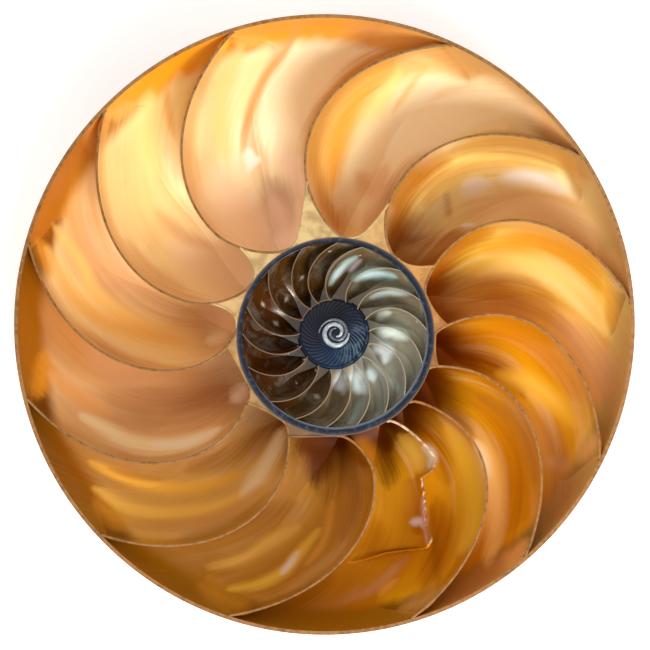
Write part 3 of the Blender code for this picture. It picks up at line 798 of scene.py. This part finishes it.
def golden_nacre():
    """Cream and peach at the upper left, deep amber at the lower right, partly the nacre's own
    colour and partly painted light and shade, with growth streaks.
    """
    paint = Paint("golden_nacre")
    grain = paint.attribute("grain")
    cosine, sine, share = paint.parts(grain)
    down, flank, crease = paint.parts(paint.attribute("place"))
    turn = paint.maths("DIVIDE", paint.maths("ARCTAN2", sine, cosine), 2 * math.pi)
    phase = paint.maths("FRACT", paint.maths("ADD", turn, 1.0))
    streak = paint.noise(paint.scaled(grain, (46.0, 46.0, 2.2)), 1.0, 4.0, 0.6, 0.3)
    broad = paint.noise(paint.scaled(grain, (9.0, 9.0, 1.8), (3.0, 1.0, 0.0)), 1.0, 2.0, 0.5, 0.6)
    cloud = paint.noise(paint.object_point(), 55.0, 2.0, 0.5, 0.4)

    wander = paint.maths("MULTIPLY", paint.maths("SUBTRACT", broad, 0.5), 0.5)
    depth = paint.maths("ADD", down, wander)
    colour = paint.blend(paint.between(depth, 0.12, 0.40), paint.ramp(phase, EDGE_TONES),
                         paint.ramp(phase, PAINTED_GLOW_TONES))
    colour = paint.blend(paint.between(depth, 0.50, 0.82), colour, paint.ramp(phase, DEEP_TONES))
    colour = paint.blend(flank, colour, paint.ramp(phase, FLOOR_TONES))
    foot = paint.maths("ADD", share, paint.maths("MULTIPLY", wander, 0.3))
    colour = paint.blend(paint.between(foot, 0.30, 0.04), colour, paint.ramp(phase, FOOT_TONES))
    fine = paint.maths("MULTIPLY", paint.between(streak, 0.48, 0.76),
                       paint.between(share, 0.80, 0.92, 0.34, 0.08))
    colour = paint.blend(fine, colour, paint.blend(0.55, colour, linear(206, 140, 60), "MULTIPLY"))
    # Painted sheen: broad pale cream patches, only where the colour is already light
    light = paint.node("RGBToBW", {0: colour}).outputs[0]
    pale = paint.maths("MULTIPLY", paint.between(broad, 0.50, 0.68),
                       paint.between(light, 0.12, 0.55, 0.0, 0.35))
    colour = paint.blend(pale, colour, paint.blend(0.6, colour, linear(255, 246, 220)))
    dusk = paint.maths("MULTIPLY", paint.between(cloud, 0.52, 0.34), 0.22)
    colour = paint.blend(dusk, colour, paint.blend(0.8, colour, linear(214, 160, 120), "MULTIPLY"))
    # Darker edge tone along the crease where a sheet meets the wall: partly the suture's own
    # colour, partly painted shade in the crease
    line = paint.maths("MULTIPLY", crease, paint.between(share, 0.25, 0.5, 0.10, 0.62))
    colour = paint.blend(line, colour, paint.ramp(phase, EDGE_TONES))
    rim = paint.maths("ADD", share, paint.maths("MULTIPLY", wander, 0.10))
    rim_tone = paint.ramp(phase, RIM_TONES)
    # On the sheets near the rim the rim tone is darkened: painted shade
    rim_tone = paint.blend(flank, paint.blend(1.0, rim_tone, linear(206, 190, 168), "MULTIPLY"),
                           rim_tone)
    colour = paint.blend(paint.between(rim, 0.885, 0.945), colour, rim_tone)
    colour = paint.tint(streak, colour)
    height = paint.maths("ADD", paint.maths("MULTIPLY", streak, 0.35), broad)
    return paint.finish(Base_Color=colour, Roughness=paint.between(streak, 0.2, 0.8, 0.34, 0.46),
                        Specular_IOR_Level=paint.between(share, 0.08, 0.35, 0.02, 0.22),
                        Metallic=0.04, Coat_Weight=0.04, Coat_Roughness=0.2,
                        Normal=paint.bump(height, 0.00022, 0.3))


SAWN_TONES = stops((0, 150, 104, 56), (60, 136, 98, 54), (110, 140, 102, 56),
                   (150, 132, 90, 44), (200, 132, 94, 52), (240, 136, 94, 48),
                   (300, 140, 96, 50), (330, 146, 100, 50))


def sawn_edge():
    """The cut through wall and septa: grey tan, finely scratched by the saw."""
    paint = Paint("sawn_edge")
    point = paint.object_point()
    grit = paint.noise(point, 900.0, 3.0)
    band = paint.noise(point, 60.0, 2.0)
    tone = paint.ramp(direction(paint, RING_CENTRE), SAWN_TONES)
    dark = paint.blend(0.6, tone, linear(150, 110, 84), "MULTIPLY")
    colour = paint.blend(paint.between(grit, 0.30, 0.62), dark, tone)
    colour = paint.blend(paint.maths("MULTIPLY", paint.between(band, 0.45, 0.62), 0.35),
                         colour, linear(150, 106, 68))
    return paint.finish(Base_Color=colour, Roughness=0.5, Specular_IOR_Level=0.2,
                        Normal=paint.bump(grit, 0.00003))


def striped_outside():
    """The outer face: cream, with rust stripes over the older part and fine growth lines."""
    paint = Paint("striped_outside")
    grain = paint.attribute("grain")
    _, share, _ = paint.parts(paint.attribute("place"))
    flame = paint.noise(paint.scaled(grain, (6.5, 6.5, 1.1)), 1.0, 4.0, 0.62, 1.2)
    lines = paint.noise(paint.scaled(grain, (120.0, 120.0, 5.0)), 1.0, 2.0, 0.5)
    fine = paint.between(lines, 0.3, 0.7)
    cream = paint.blend(fine, linear(210, 190, 156), linear(230, 216, 190))
    rust = paint.blend(fine, linear(132, 66, 34), linear(176, 98, 54))
    stripe = paint.between(flame, 0.50, 0.55)
    colour = paint.blend(stripe, cream, rust)
    colour = paint.blend(paint.between(share, 0.10, -0.25), colour, linear(222, 208, 184))
    return paint.finish(Base_Color=colour, Roughness=paint.between(lines, 0.2, 0.8, 0.32, 0.48),
                        Coat_Weight=0.2, Coat_Roughness=0.2,
                        Normal=paint.bump(lines, 0.00012, 0.6))


RING_EDGE_FROM = 22.3 * MM
RING_EDGE_TO = 24.2 * MM


def ring_edge():
    """The ring's cut edge: blue grey layers, navy in the middle, a pale line inside."""
    paint = Paint("ring_edge")
    x, y, _ = paint.parts(paint.object_point())
    radius = paint.node("VectorMath", {0: paint.node("CombineXYZ", {
        0: paint.maths("SUBTRACT", x, RING_CENTRE[0]),
        1: paint.maths("SUBTRACT", y, RING_CENTRE[1])}).outputs[0]},
        operation="LENGTH").outputs["Value"]
    wobble = paint.noise(paint.object_point(), 260.0, 3.0)
    radius = paint.maths("ADD", radius, paint.maths("MULTIPLY", wobble, 0.0003))
    layers = (
        (0.00, linear(76, 84, 94)), (0.12, linear(58, 64, 78)), (0.22, linear(12, 15, 26)),
        (0.52, linear(15, 19, 31)), (0.64, linear(32, 36, 48)), (0.78, linear(40, 40, 52)),
        (0.88, linear(84, 70, 60)), (1.00, linear(122, 96, 70)),
    )
    across = paint.node("MapRange", {"Value": radius, "From Min": RING_EDGE_FROM,
                                     "From Max": RING_EDGE_TO}).outputs[0]
    colour = paint.ramp(across, layers)
    grit = paint.noise(paint.object_point(), 700.0, 3.0)
    colour = paint.blend(paint.maths("MULTIPLY", paint.between(grit, 0.5, 0.7), 0.30),
                         colour, linear(80, 84, 98))
    return paint.finish(Base_Color=colour, Roughness=0.5, Specular_IOR_Level=0.15,
                        Normal=paint.bump(grit, 0.00003))


SMOKY_TONES = stops((0, 146, 136, 114), (40, 138, 122, 96), (75, 112, 86, 52),
                    (110, 92, 60, 22), (150, 84, 46, 12), (200, 80, 40, 8),
                    (240, 92, 60, 26), (275, 128, 110, 80), (320, 154, 148, 132))


def smoky_nacre():
    """The inner chambers: very dark brown at the left, grey olive at the right, partly painted
    light, with painted glints.
    """
    paint = Paint("smoky_nacre")
    tone = paint.ramp(direction(paint, INNER_CENTRE), SMOKY_TONES)
    cloud = paint.noise(paint.object_point(), 220.0, 3.0, 0.5, 0.8)
    fleck = paint.noise(paint.object_point(), 520.0, 1.0, 0.4)
    tone = paint.blend(paint.maths("MULTIPLY", paint.between(cloud, 0.48, 0.70), 0.22), tone,
                       linear(176, 186, 172))
    tone = paint.blend(paint.maths("MULTIPLY", paint.between(fleck, 0.76, 0.80), 0.7), tone,
                       linear(226, 216, 206))
    tone = paint.tint(cloud, tone)
    return paint.finish(Base_Color=tone, Metallic=0.15, Roughness=0.22, Coat_Weight=0.8,
                        Coat_Roughness=0.08, Normal=paint.bump(cloud, 0.0002, 0.35))


def smoky_edge():
    """The thin cut edges of the inner septa: dull tan."""
    paint = Paint("smoky_edge")
    grit = paint.noise(paint.object_point(), 1200.0, 2.0)
    tones = stops((0, 142, 130, 108), (60, 128, 108, 78), (120, 104, 74, 42), (200, 100, 68, 38),
                  (250, 110, 84, 56), (300, 136, 126, 108))
    tone = paint.ramp(direction(paint, INNER_CENTRE), tones)
    tone = paint.blend(paint.maths("MULTIPLY", grit, 0.4), tone, linear(96, 72, 46))
    return paint.finish(Base_Color=tone, Roughness=0.45)


def navy_core():
    """The ribbed disc: navy in its grooves, with painted light, blue grey, on its ribs where they
    face the light.
    """
    paint = Paint("navy_core")
    rib, _, _ = paint.parts(paint.attribute("rib"))
    cloud = paint.noise(paint.object_point(), 500.0, 3.0)
    around = direction(paint, CORE_CENTRE)
    deep = paint.ramp(around, stops((0, 20, 30, 46), (60, 12, 14, 22), (150, 16, 17, 28),
                                    (210, 18, 22, 38), (270, 22, 38, 60), (320, 20, 32, 48)))
    # Painted light on the ribs: blue grey towards the right, dark elsewhere
    lit = paint.ramp(around, stops((0, 96, 112, 130), (30, 42, 50, 70), (70, 11, 12, 18),
                                   (150, 13, 15, 25), (210, 17, 22, 38), (270, 38, 60, 86),
                                   (320, 92, 112, 130)))
    deep = paint.blend(paint.maths("MULTIPLY", paint.between(cloud, 0.45, 0.68), 0.5), deep, lit)
    colour = paint.blend(paint.between(rib, 0.45, 0.95), deep, lit)
    return paint.finish(Base_Color=colour, Roughness=0.5, Specular_IOR_Level=0.12,
                        Normal=paint.bump(cloud, 0.00005, 0.4))


def pale_coil(name, dim, bright):
    """A tube of the little coil: cloudy, between a dim and a bright tone. The shaded tube is
    painted shade, a darker tube in the groove beside the bright turn.
    """
    paint = Paint(name)
    cloud = paint.noise(paint.object_point(), 900.0, 3.0)
    colour = paint.blend(paint.between(cloud, 0.35, 0.65), dim, bright)
    return paint.finish(Base_Color=colour, Roughness=0.3, Coat_Weight=0.3,
                        Normal=paint.bump(cloud, 0.00003, 0.5))


def web_tan():
    """The small corners between a septum's limb and the next septum: dull olive tan."""
    paint = Paint("web_tan")
    cloud = paint.noise(paint.object_point(), 300.0, 4.0)
    tones = stops((0, 160, 104, 34), (30, 176, 118, 42), (60, 176, 134, 72), (95, 184, 156, 104),
                  (130, 186, 160, 106), (165, 180, 146, 92), (200, 164, 124, 66),
                  (240, 116, 82, 26), (270, 94, 60, 14), (320, 104, 58, 12))
    tone = paint.ramp(direction(paint, RING_CENTRE), tones)
    dark = paint.blend(0.7, tone, linear(186, 168, 130), "MULTIPLY")
    colour = paint.blend(paint.between(cloud, 0.35, 0.62), dark, tone)
    return paint.finish(Base_Color=colour, Roughness=0.4, Normal=paint.bump(cloud, 0.0001, 0.5))


def broken_edge():
    """The ragged edge of the broken septum: pale tan, rough."""
    paint = Paint("broken_edge")
    cloud = paint.noise(paint.object_point(), 900.0, 3.0)
    colour = paint.blend(paint.between(cloud, 0.35, 0.65), linear(150, 104, 66),
                         linear(206, 168, 140))
    return paint.finish(Base_Color=colour, Roughness=0.45, Normal=paint.bump(cloud, 0.00005))


# Pieces

BACK_ARCS = 48
WALL_ARCS = 100
WALL_STEPS = 480


def make_outer_wall(nacre, edge, outside):
    """The domed wall, turned from its section: out over the back, round the rim, and in."""
    bm = bmesh.new()
    section = []
    for n in range(BACK_ARCS + 1):
        section.append((OUTER_RADIUS * math.sin(math.pi / 2 * n / BACK_ARCS), 0))
    for n in range(WALL_ARCS + 1):
        section.append(((OUTER_RADIUS - WALL) * math.cos(math.pi / 2 * n / WALL_ARCS), 1))
    verts = [bm.verts.new((radius, 0.0, float(side))) for radius, side in section]
    edges = [bm.edges.new(pair) for pair in zip(verts, verts[1:])]
    bmesh.ops.spin(bm, geom=verts + edges, axis=(0, 0, 1), cent=(0, 0, 0),
                   angle=2 * math.pi, steps=WALL_STEPS, use_merge=True)
    for vert in bm.verts:
        x, y, side = vert.co
        if math.hypot(x, y) > OUTER_RADIUS - WALL * (1.001 if side > 0.5 else 0.001):
            vert.co.z = DEPTH
        elif side > 0.5:
            vert.co.z = DEPTH - outer_floor(x, y)
        else:
            navel = navel_height(math.hypot(x - CORE_CENTRE[0], y - CORE_CENTRE[1]))
            vert.co.z = DEPTH - outside_depth(math.hypot(x, y)) + navel
    bmesh.ops.remove_doubles(bm, verts=bm.verts, dist=1e-6)
    bmesh.ops.recalc_face_normals(bm, faces=bm.faces)
    for face in bm.faces:
        middle = face.calc_center_median()
        if all(vert.co.z > DEPTH - 1e-5 for vert in face.verts):
            face.material_index = 1
        elif face.normal.z < 0 or middle.xy.length > OUTER_RADIUS - WALL / 2:
            face.material_index = 2
    piece = new_piece("outer_wall", bm, (nacre, edge, outside))
    piece.data.set_sharp_from_angle(angle=math.radians(50))
    write_marks(piece.data)
    settle(piece)


# The broken septum's edge: places along its line, and how far down the sheet the edge lies
BREAK_EDGE = ((0.360, 0.00), (0.388, 0.20), (0.420, 0.46), (0.475, 0.44), (0.530, 0.38),
              (0.556, 0.30), (0.578, 0.06), (0.596, 0.08), (0.612, 0.70), (0.640, 1.00))
BREAK_END = 0.635
BREAK_LIP = 0.93


def break_top(along):
    """How far down the broken septum's sheet its edge lies."""
    if along <= BREAK_EDGE[0][0]:
        return 0.0
    for (first, low), (second, high) in zip(BREAK_EDGE, BREAK_EDGE[1:]):
        if along <= second:
            rough = noise.noise(Vector((along * 70, 3.7, 1.3)))
            step = smooth(along, first, second)
            return max(0.0, low + (high - low) * step + 0.02 * rough)
    return 1.0


SHEET_LONG = 150
SHEET_DEEP = 40
SHEET_BOTTOM = 1.03


def limb_place(name, septum, following, out):
    """The limb that closes a bowl: from the foot along the ring, then up the next one's back."""
    foot = (0.0, septum.foot)
    corner = (-0.004, septum.foot - WEB_FOOT * 1.15)
    top = following.line(WEB_TOPS[name] * BELLY_AT)
    return mix(mix(foot, corner, out), mix(corner, top, out), out)


def make_septum(name, septum, following, nacre, edge, web, broken):
    """One septum's sheet, from its line on the sawn face down to the outer wall."""
    limb = LIMB_SHARE if name in WEB_TOPS else 0.0

    def move(along, down):
        if along < limb:
            share, angle = limb_place(name, septum, following, 1 - along / limb)
            here = 0.0
        else:
            here = (along - limb) / (1 - limb) * (BREAK_END if name == BROKEN else 1.0)
            share, angle = septum.line(here)
        start = break_top(here) if name == BROKEN else 0.0
        lean = start + (SHEET_BOTTOM - start) * down
        share = min(share, 0.9985)
        if lean <= 0:
            top = OUTER.point(share, angle)
            return Vector((top.x, top.y, DEPTH - SUNK_EDGE))
        return sheet_point(OUTER, share, angle, lean)

    bm = bmesh.new()
    along_mark = bm.verts.layers.float.new("along")
    down_mark = bm.verts.layers.float.new("down")
    made = bmesh.ops.create_grid(bm, x_segments=SHEET_LONG, y_segments=SHEET_DEEP, size=0.5,
                                 matrix=Matrix.Translation((0.5, 0.5, 0.0)))
    for vert in made["verts"]:
        along, down = (min(1.0, max(0.0, value)) for value in vert.co.xy)
        vert[along_mark] = along
        vert[down_mark] = down
        vert.co = move(along, down)
    for face in bm.faces:
        along = max(vert[along_mark] for vert in face.verts)
        if along < limb + 0.001 or (name == BROKEN and along > BREAK_LIP):
            face.material_index = 2
    downs = [vert[down_mark] * SHEET_BOTTOM for vert in bm.verts]
    bm.verts.layers.float.remove(along_mark)
    bm.verts.layers.float.remove(bm.verts.layers.float["down"])
    piece = new_piece("septum_" + name, bm,
                      (nacre, broken, nacre, nacre) if name == BROKEN else
                      (nacre, edge, nacre, web), weld=False)
    write_marks(piece.data, downs)
    thicken(piece, SEPTUM)
    settle(piece)


def make_webs(tan):
    """The thin floors of the small corners between limb, ring and next septum."""
    bm = bmesh.new()
    for name, septum, following in outer_pairs():
        if name not in WEB_TOPS:
            continue

        def move(across, along, down):
            limb = limb_place(name, septum, following, 0.10 + 0.90 * along)
            back = following.line(WEB_TOPS[name] * BELLY_AT * along)
            share, angle = mix(limb, back, across)
            flat = OUTER.point(share - 0.01 * (1 - along), angle)
            return Vector((flat.x, flat.y, DEPTH - WEB_SINK - WEB_THICK * down))

        add_block(bm, (3, 14, 1), move)
    bmesh.ops.recalc_face_normals(bm, faces=bm.faces)
    piece = new_piece("corner_webs", bm, (tan,))
    piece.data.set_sharp_from_angle(angle=math.radians(40))
    settle(piece)


RING_STEPS = 256
RING_FOOT_DEPTH = DEPTH - 12 * MM
RING_FOOT_RINGS = 24
INNER_FLOOR_RINGS = 29
CORE_LIP = 8.4 * MM
CORE_LIP_RISE = 4 * MM


def whorl_centre(radius):
    """The middle that a circle of the inner whorl is drawn round, from core to ring."""
    if radius <= CORE_LIP:
        return CORE_CENTRE
    if radius <= INNER_RADIUS:
        out = smooth(radius, CORE_LIP, CORE_LIP + CORE_LIP_RISE)
        return mix(CORE_CENTRE, INNER_CENTRE, out)
    return mix(INNER_CENTRE, RING_CENTRE, smooth(radius, INNER_RADIUS, RING_RADIUS))


def make_inner_whorl(nacre, edge, smoky, navy):
    """The ring, its foot wall, and the floor of the dark inner chambers up to the core."""
    bm = bmesh.new()
    section = [(0.0, RING_FOOT_DEPTH)]
    for n in range(RING_FOOT_RINGS + 1):
        down = 1.02 * (1 - n / RING_FOOT_RINGS)
        over = (1 - math.cos(BOWL_ANGLE * down)) / (1 - math.cos(BOWL_ANGLE))
        radius = RING_RADIUS + (RING_FOOT_RADIUS - RING_RADIUS) * over
        fall = math.sin(BOWL_ANGLE * down) / math.sin(BOWL_ANGLE)
        section.append((radius, RING_FOOT_DEPTH * fall))
    for n in range(INNER_FLOOR_RINGS + 1):
        swing = math.pi / 2 * n / INNER_FLOOR_RINGS
        radius = INNER_CREST + (INNER_RADIUS - INNER_CREST) * math.cos(swing)
        section.append((radius, INNER_DEPTH * math.sin(swing)))
    section += [(CORE_LIP + 0.4 * MM, INNER_DEPTH), (CORE_LIP, INNER_DEPTH), (CORE_LIP, 0.2 * MM),
                (CORE_LIP - 0.3 * MM, 0.0), (CORE_LIP - 0.6 * MM, 0.3 * MM),
                (CORE_LIP - 0.7 * MM, 2.4 * MM), (0.0, 2.4 * MM)]
    verts = [bm.verts.new((radius, 0.0, DEPTH - depth)) for radius, depth in section]
    edges = [bm.edges.new(pair) for pair in zip(verts, verts[1:])]
    bmesh.ops.spin(bm, geom=verts + edges, axis=(0, 0, 1), cent=(0, 0, 0),
                   angle=2 * math.pi, steps=RING_STEPS, use_merge=True)
    for vert in bm.verts:
        radius = vert.co.xy.length
        centre = whorl_centre(radius)
        vert.co.x += centre[0]
        vert.co.y += centre[1]
    bmesh.ops.remove_doubles(bm, verts=bm.verts, dist=1e-6)
    bmesh.ops.recalc_face_normals(bm, faces=bm.faces)
    ring = Vector(RING_CENTRE)
    for face in bm.faces:
        middle = face.calc_center_median()
        radius = (middle.xy - ring).length
        if all(vert.co.z > DEPTH - 1e-5 for vert in face.verts):
            face.material_index = 1
        elif radius < CORE_LIP + 0.6 * MM:
            face.material_index = 3
        elif radius < INNER_RADIUS + 0.4 * MM and middle.z > DEPTH - INNER_DEPTH - 0.1 * MM:
            face.material_index = 2
    piece = new_piece("ring_and_inner_floor", bm, (nacre, edge, smoky, navy))
    piece.data.set_sharp_from_angle(angle=math.radians(50))
    write_marks(piece.data, strokes=STROKES + INNER_STROKES)
    write_rib(piece.data)
    settle(piece)


def write_rib(mesh):
    """How near each point of the core lies to a rib's crest, 0 to 1."""
    rib = mesh.attributes.new("rib", "FLOAT_VECTOR", "POINT")
    for index, vert in enumerate(mesh.vertices):
        rib.data[index].vector = (rib_height(vert.co.x, vert.co.y), 0.0, 0.0)


def rib_height(x, y):
    """How high the core's ribs stand at a place, 0 to 1."""
    x, y = x - CORE_CENTRE[0], y - CORE_CENTRE[1]
    radius = math.hypot(x, y)
    out = (radius - DISH_RADIUS) / (CORE_RADIUS - DISH_RADIUS)
    angle = math.atan2(y, x) + RIB_TWIST * out
    ridge = abs(math.cos(CORE_RIBS * angle / 2)) ** 5
    return ridge * smooth(out, 0.0, 0.12) * smooth(out, 1.02, 0.9)


CORE_RINGS = 26
STEPS_PER_RIB = 10
CORE_UNDERSIDE = 2.6 * MM


def make_core(navy):
    """The ribbed dish in the middle of the inner whorl."""
    bm = bmesh.new()
    radii = [CORE_RADIUS * n / CORE_RINGS for n in range(CORE_RINGS + 1)]
    verts = [bm.verts.new((radius, 0.0, 1.0)) for radius in radii]
    verts += [bm.verts.new((radius, 0.0, 0.0)) for radius in (CORE_RADIUS, 0.0)]
    edges = [bm.edges.new(pair) for pair in zip(verts, verts[1:])]
    bmesh.ops.spin(bm, geom=verts + edges, axis=(0, 0, 1), cent=(0, 0, 0),
                   angle=2 * math.pi, steps=CORE_RIBS * STEPS_PER_RIB, use_merge=True)
    for vert in bm.verts:
        radius = vert.co.xy.length
        top = vert.co.z > 0.5
        vert.co.x += CORE_CENTRE[0]
        vert.co.y += CORE_CENTRE[1]
        out = max(0.0, (radius - DISH_RADIUS) / (CORE_RADIUS - DISH_RADIUS))
        depth = CORE_DEPTH + (CORE_EDGE_DEPTH - CORE_DEPTH) * out
        if top:
            vert.co.z = DEPTH - depth + RIB_HEIGHT * rib_height(vert.co.x, vert.co.y)
        else:
            vert.co.z = DEPTH - CORE_UNDERSIDE
    bmesh.ops.recalc_face_normals(bm, faces=bm.faces)
    piece = new_piece("ribbed_core", bm, (navy,))
    piece.data.set_sharp_from_angle(angle=math.radians(60))
    write_rib(piece.data)
    settle(piece)


COIL_POINTS = 90
BRIGHT_COIL_DEPTH = 1.0 * MM
SHADED_COIL_DEPTH = 1.3 * MM
# Radii of each turn's middle line every quarter turn clockwise from where it starts, and half
# its thickness there, in millimetres
BRIGHT_TURN = (3.05, 3.00, 2.85, 2.10, 1.25, 0.75)
BRIGHT_THICK = (0.20, 0.62, 0.56, 0.52, 0.42, 0.16)
# The shaded turn is painted shade: a darker tube laid in the groove beside the bright turn
SHADED_TURN = (4.20, 3.15, 2.35, 1.62, 1.50, 1.15)
SHADED_THICK = (0.18, 0.44, 0.46, 0.42, 0.36, 0.16)


def eased(values, along):
    """The value at a share of the way along a row of values."""
    place = along * (len(values) - 1)
    index = min(int(place), len(values) - 2)
    return values[index] + (values[index + 1] - values[index]) * (place - index)


def make_coil(name, start_angle, radii, thick, sunk, material):
    """A little tapered tube that winds up in the middle."""
    data = bpy.data.curves.new(name, "CURVE")
    data.dimensions = "3D"
    data.bevel_depth = MM
    data.bevel_resolution = 5
    data.use_fill_caps = True
    spline = data.splines.new("POLY")
    spline.points.add(COIL_POINTS - 1)
    for n, point in enumerate(spline.points):
        along = n / (COIL_POINTS - 1)
        angle = start_angle - math.pi / 2 * (len(radii) - 1) * along
        radius = eased(radii, along) * MM
        point.co = (COIL_CENTRE[0] + radius * math.cos(angle),
                    COIL_CENTRE[1] + radius * math.sin(angle), DEPTH - sunk, 1.0)
        point.radius = eased(thick, along)
    line = bpy.data.objects.new(name, data)
    bpy.context.scene.collection.objects.link(line)
    bpy.context.view_layer.update()
    evaluated = line.evaluated_get(bpy.context.evaluated_depsgraph_get())
    mesh = bpy.data.meshes.new_from_object(evaluated)
    bpy.data.objects.remove(line)
    bm = bmesh.new()
    bm.from_mesh(mesh)
    bmesh.ops.remove_doubles(bm, verts=bm.verts, dist=1e-6)
    bmesh.ops.recalc_face_normals(bm, faces=bm.faces)
    piece = new_piece(name, bm, (material,))
    piece.data.set_sharp_from_angle(angle=math.radians(60))
    settle(piece)


INNER_SHEET_LONG = 48
INNER_SHEET_DEEP = 16


def make_inner_septa(smoky, edge):
    """The seventeen small septa inside the ring."""
    for number, (belly, rim) in enumerate(INNER_SEPTA, 1):
        septum = Septum(INNER, rim, belly, INNER_BELLY, belly - INNER_FOOT_BACK, INNER_BEND,
                        INNER_BELLY_AT)

        def move(along, down):
            share, angle = septum.line(along)
            lean = SHEET_BOTTOM * down
            if lean <= 0:
                flat = INNER.point(share, angle)
                return Vector((flat.x, flat.y, DEPTH - SUNK_EDGE))
            return sheet_point(INNER, share, angle, lean)

        bm = bmesh.new()
        add_grid(bm, INNER_SHEET_LONG, INNER_SHEET_DEEP, move)
        piece = new_piece("inner_septum_%02d" % number, bm, (smoky, edge))
        write_tint(piece.data, INNER_STROKES)
        thicken(piece, INNER_SEPTUM)
        settle(piece)


def build_shell():
    nacre, edge, outside, web = golden_nacre(), sawn_edge(), striped_outside(), web_tan()
    smoky, smoky_cut, navy = smoky_nacre(), smoky_edge(), navy_core()
    bright = pale_coil("pale_coil", linear(116, 126, 132), linear(160, 170, 172))
    shaded = pale_coil("shaded_coil", linear(60, 64, 74), linear(98, 98, 104))
    make_outer_wall(nacre, edge, outside)
    for name, septum, following in outer_pairs():
        make_septum(name, septum, following, nacre, edge, web, broken_edge())
    make_webs(web)
    make_inner_whorl(nacre, ring_edge(), smoky, navy)
    make_inner_septa(smoky, smoky_cut)
    make_core(navy)
    make_coil("bright_coil", 0.0, BRIGHT_TURN, BRIGHT_THICK, BRIGHT_COIL_DEPTH, bright)
    # Painted shade: the darker tube in the groove between the turns
    make_coil("shaded_coil", math.pi, SHADED_TURN, SHADED_THICK, SHADED_COIL_DEPTH, shaded)


# Floor, light and camera

CAMERA_HEIGHT = 0.90
PHOTO_PIXEL = OUTER_RADIUS / 310.5
PHOTO_SIDE = 650
PHOTO_MIDDLE = (0.5 * PHOTO_PIXEL, -0.5 * PHOTO_PIXEL)


def make_floor():
    bm = bmesh.new()
    bmesh.ops.create_grid(bm, x_segments=1, y_segments=1, size=1.5)
    mesh = bpy.data.meshes.new("floor")
    bm.to_mesh(mesh)
    bm.free()
    floor = bpy.data.objects.new("floor", mesh)
    floor.location = (0.0, 0.0, LOW[2] - 0.0002)
    bpy.context.scene.collection.objects.link(floor)
    paint = Paint("pale_floor")
    mesh.materials.append(paint.finish(Base_Color=(0.93, 0.93, 0.93, 1.0), Roughness=0.9,
                                       Emission_Color=(1.0, 1.0, 1.0, 1.0),
                                       Emission_Strength=0.25))


def add_area(name, place, aim, size, power, colour=(1.0, 1.0, 1.0)):
    data = bpy.data.lights.new(name, "AREA")
    data.shape = "RECTANGLE"
    data.size, data.size_y = size
    data.energy = power
    data.color = colour
    lamp = bpy.data.objects.new(name, data)
    lamp.location = place
    towards = Vector(aim) - Vector(place)
    lamp.rotation_euler = towards.to_track_quat("-Z", "Y").to_euler()
    bpy.context.scene.collection.objects.link(lamp)


def make_light():
    world = bpy.data.worlds.new("studio")
    world.use_nodes = True
    background = world.node_tree.nodes["Background"]
    background.inputs["Color"].default_value = (1.0, 0.99, 0.97, 1.0)
    background.inputs["Strength"].default_value = 0.95
    bpy.context.scene.world = world
    add_area("key", (0.20, -0.42, 0.78), (0, 0, 0.02), (0.35, 0.35), 8.0, (1.0, 0.98, 0.95))


def make_camera():
    data = bpy.data.cameras.new("camera")
    camera = bpy.data.objects.new("camera", data)
    bpy.context.scene.collection.objects.link(camera)
    camera.location = (PHOTO_MIDDLE[0], PHOTO_MIDDLE[1], DEPTH + CAMERA_HEIGHT)
    data.sensor_fit = "HORIZONTAL"
    data.angle = 2 * math.atan(PHOTO_SIDE * PHOTO_PIXEL / 2 / CAMERA_HEIGHT)
    data.clip_start = 0.01
    bpy.context.scene.camera = camera


make_floor()
build_shell()
make_light()
make_camera()
bpy.context.scene.view_settings.view_transform = "Standard"
